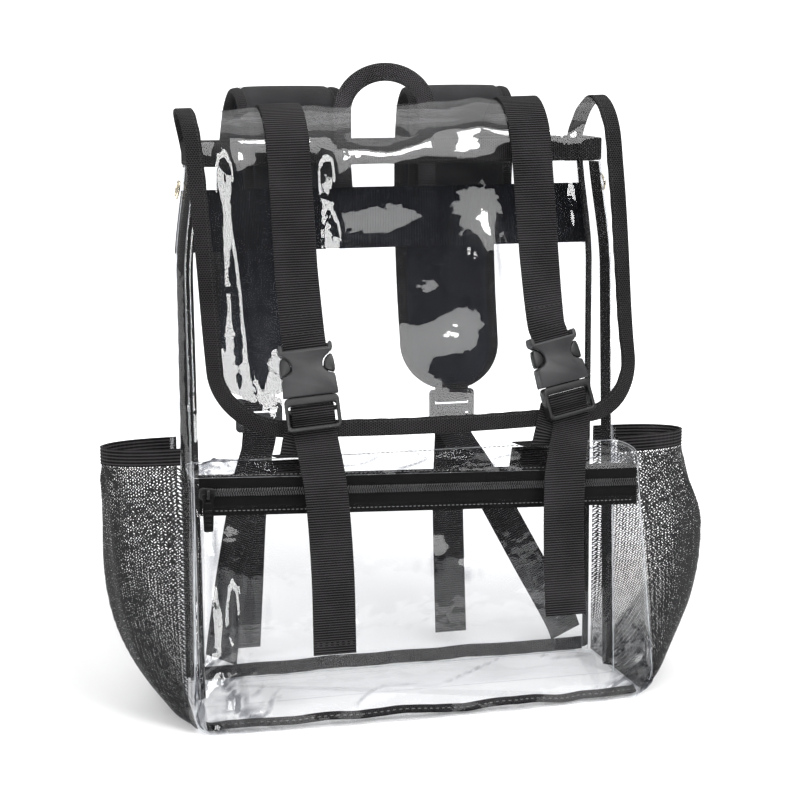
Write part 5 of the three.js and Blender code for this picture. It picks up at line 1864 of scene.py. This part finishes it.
class BACKPACK_OT_stage(bpy.types.Operator):
    """Set up the floor, the softboxes and the camera."""
    bl_idname = "backpack.stage"
    bl_label = "Stage"

    EYE = to_frame(Vector((-365.8, -1346.5, 467.5)))
    AIM = to_frame(Vector((-5, 0, 211.1)))
    # The camera's sensor in millimetres and how far it sees in metres
    SENSOR = 36
    FAR = 60
    # Half the floor's size and how far it reaches in front of the bag, in metres
    FLOOR_HALF = 9.0
    FLOOR_AHEAD = 0.36
    # Where the softboxes point
    LIGHT_AIM = Vector((0, 0, 0.2))

    def execute(self, context):
        settings = context.scene.pack_stage
        floor_material(settings.floor)
        deselect()
        bpy.ops.mesh.primitive_grid_add(x_subdivisions=24, y_subdivisions=24, size=2 * self.FLOOR_HALF)
        floor = bpy.context.object
        floor.name = "floor"
        points = read_points(floor.data)
        points[:, 1] = np.maximum(points[:, 1], -self.FLOOR_AHEAD)
        write_points(floor.data, points)
        dress(floor, "studio_floor")
        for name, place, size, power in (
            ("softbox_key", (0.75, -1.75, 1.42), (1.7, 0.95), settings.key),
            ("softbox_side", (-0.42, -1.75, 0.95), (0.22, 0.7), settings.fill),
            ("softbox_low", (-0.75, -1.75, 0.4), (0.34, 0.62), settings.low),
            ("softbox_top", (0.0, -0.1, 2.2), (3.0, 2.2), settings.top),
            ("softbox_spot", (0.46, -1.33, 1.27), (0.42, 0.26), settings.spot),
            ("strip_left", (-1.6, -0.55, 0.55), (0.08, 1.2), settings.strip),
            ("strip_right", (1.6, -0.55, 0.55), (0.08, 1.2), settings.strip * 0.2),
        ):
            self.softbox(name, place, size, power)
        self.surroundings(context.scene)
        lens = bpy.data.cameras.new("camera")
        lens.lens, lens.sensor_width, lens.clip_end = settings.lens, self.SENSOR, self.FAR
        camera = bpy.data.objects.new("camera", lens)
        context.collection.objects.link(camera)
        camera.location = self.EYE
        camera.rotation_euler = (self.AIM - self.EYE).to_track_quat("-Z", "Y").to_euler()
        context.scene.camera = camera
        context.scene.view_settings.view_transform = "Standard"
        context.scene.cycles.transparent_max_bounces = 48
        return {"FINISHED"}

    @classmethod
    def softbox(cls, name, place, size, power):
        lamp = bpy.data.lights.new(name, "AREA")
        lamp.shape, lamp.size, lamp.size_y, lamp.energy = "RECTANGLE", size[0], size[1], power
        box = bpy.data.objects.new(name, lamp)
        bpy.context.collection.objects.link(box)
        box.location = place
        box.rotation_euler = (cls.LIGHT_AIM - Vector(place)).to_track_quat("-Z", "Y").to_euler()

    @staticmethod
    def surroundings(scene):
        """A white surround behind the bag, even soft light, and a darker room in reflections."""
        world = bpy.data.worlds.new("studio")
        scene.world = world
        world.use_nodes = True
        tree = world.node_tree
        tree.nodes.clear()
        path = node(tree, "LightPath")
        way = node(tree, "SeparateXYZ", {"Vector": node(tree, "TexCoord").outputs["Generated"]}).outputs
        ahead = ranged(tree, way["Z"], 0.3, 0.75, 0.02, 1.0)
        behind = ranged(tree, way["Y"], -0.05, 0.35, 0.0, 0.3)
        seen, soft, mirrored_room = (
            node(tree, "Background", {"Color": (1, 1, 1, 1), "Strength": strength}).outputs[0]
            for strength in (1.5, 0.5, total(tree, ahead, behind)))
        lit = node(tree, "MixShader", {0: path.outputs["Is Glossy Ray"], 1: soft, 2: mirrored_room})
        whole = node(tree, "MixShader", {0: path.outputs["Is Camera Ray"], 1: lit.outputs[0], 2: seen})
        output = node(tree, "OutputWorld")
        tree.links.new(whole.outputs[0], output.inputs["Surface"])


class BACKPACK_PT_sidebar(bpy.types.Panel):
    """The backpack's pieces, in the order that they are made."""
    bl_idname = "BACKPACK_PT_sidebar"
    bl_label = "Backpack"
    bl_space_type = "VIEW_3D"
    bl_region_type = "UI"
    bl_category = "Backpack"

    def draw(self, context):
        for operator in OPERATORS:
            self.layout.operator(operator.bl_idname)
        for name in SETTINGS:
            box = self.layout.box()
            group = getattr(context.scene, name)
            for key in group.bl_rna.properties.keys():
                if key not in {"rna_type", "name"}:
                    box.prop(group, key)


SETTINGS = {
    "pack_clear": ClearSheetSettings, "pack_webbing": WebbingSettings, "pack_padding": PaddingSettings,
    "pack_mesh": MeshSettings, "pack_hardware": HardwareSettings, "pack_stitch": StitchSettings,
    "pack_stage": StageSettings,
}
OPERATORS = (
    BACKPACK_OT_materials, BACKPACK_OT_stage, BACKPACK_OT_body, BACKPACK_OT_bindings, BACKPACK_OT_pocket,
    BACKPACK_OT_zip, BACKPACK_OT_mesh_pockets, BACKPACK_OT_eyelets, BACKPACK_OT_flap, BACKPACK_OT_straps,
    BACKPACK_OT_buckles, BACKPACK_OT_handle, BACKPACK_OT_shoulder_straps,
)


def register():
    for cls in (*SETTINGS.values(), *OPERATORS, BACKPACK_PT_sidebar):
        bpy.utils.register_class(cls)
    for name, group in SETTINGS.items():
        setattr(bpy.types.Scene, name, PointerProperty(type=group))


def unregister():
    for name in SETTINGS:
        delattr(bpy.types.Scene, name)
    for cls in (BACKPACK_PT_sidebar, *OPERATORS[::-1], *list(SETTINGS.values())[::-1]):
        bpy.utils.unregister_class(cls)


def main():
    register()
    for operator in OPERATORS:
        group, name = operator.bl_idname.split(".")
        if getattr(getattr(bpy.ops, group), name)() != {"FINISHED"}:
            raise RuntimeError(f"{operator.bl_label} couldn't be made")


if __name__ == "__main__":
    main()
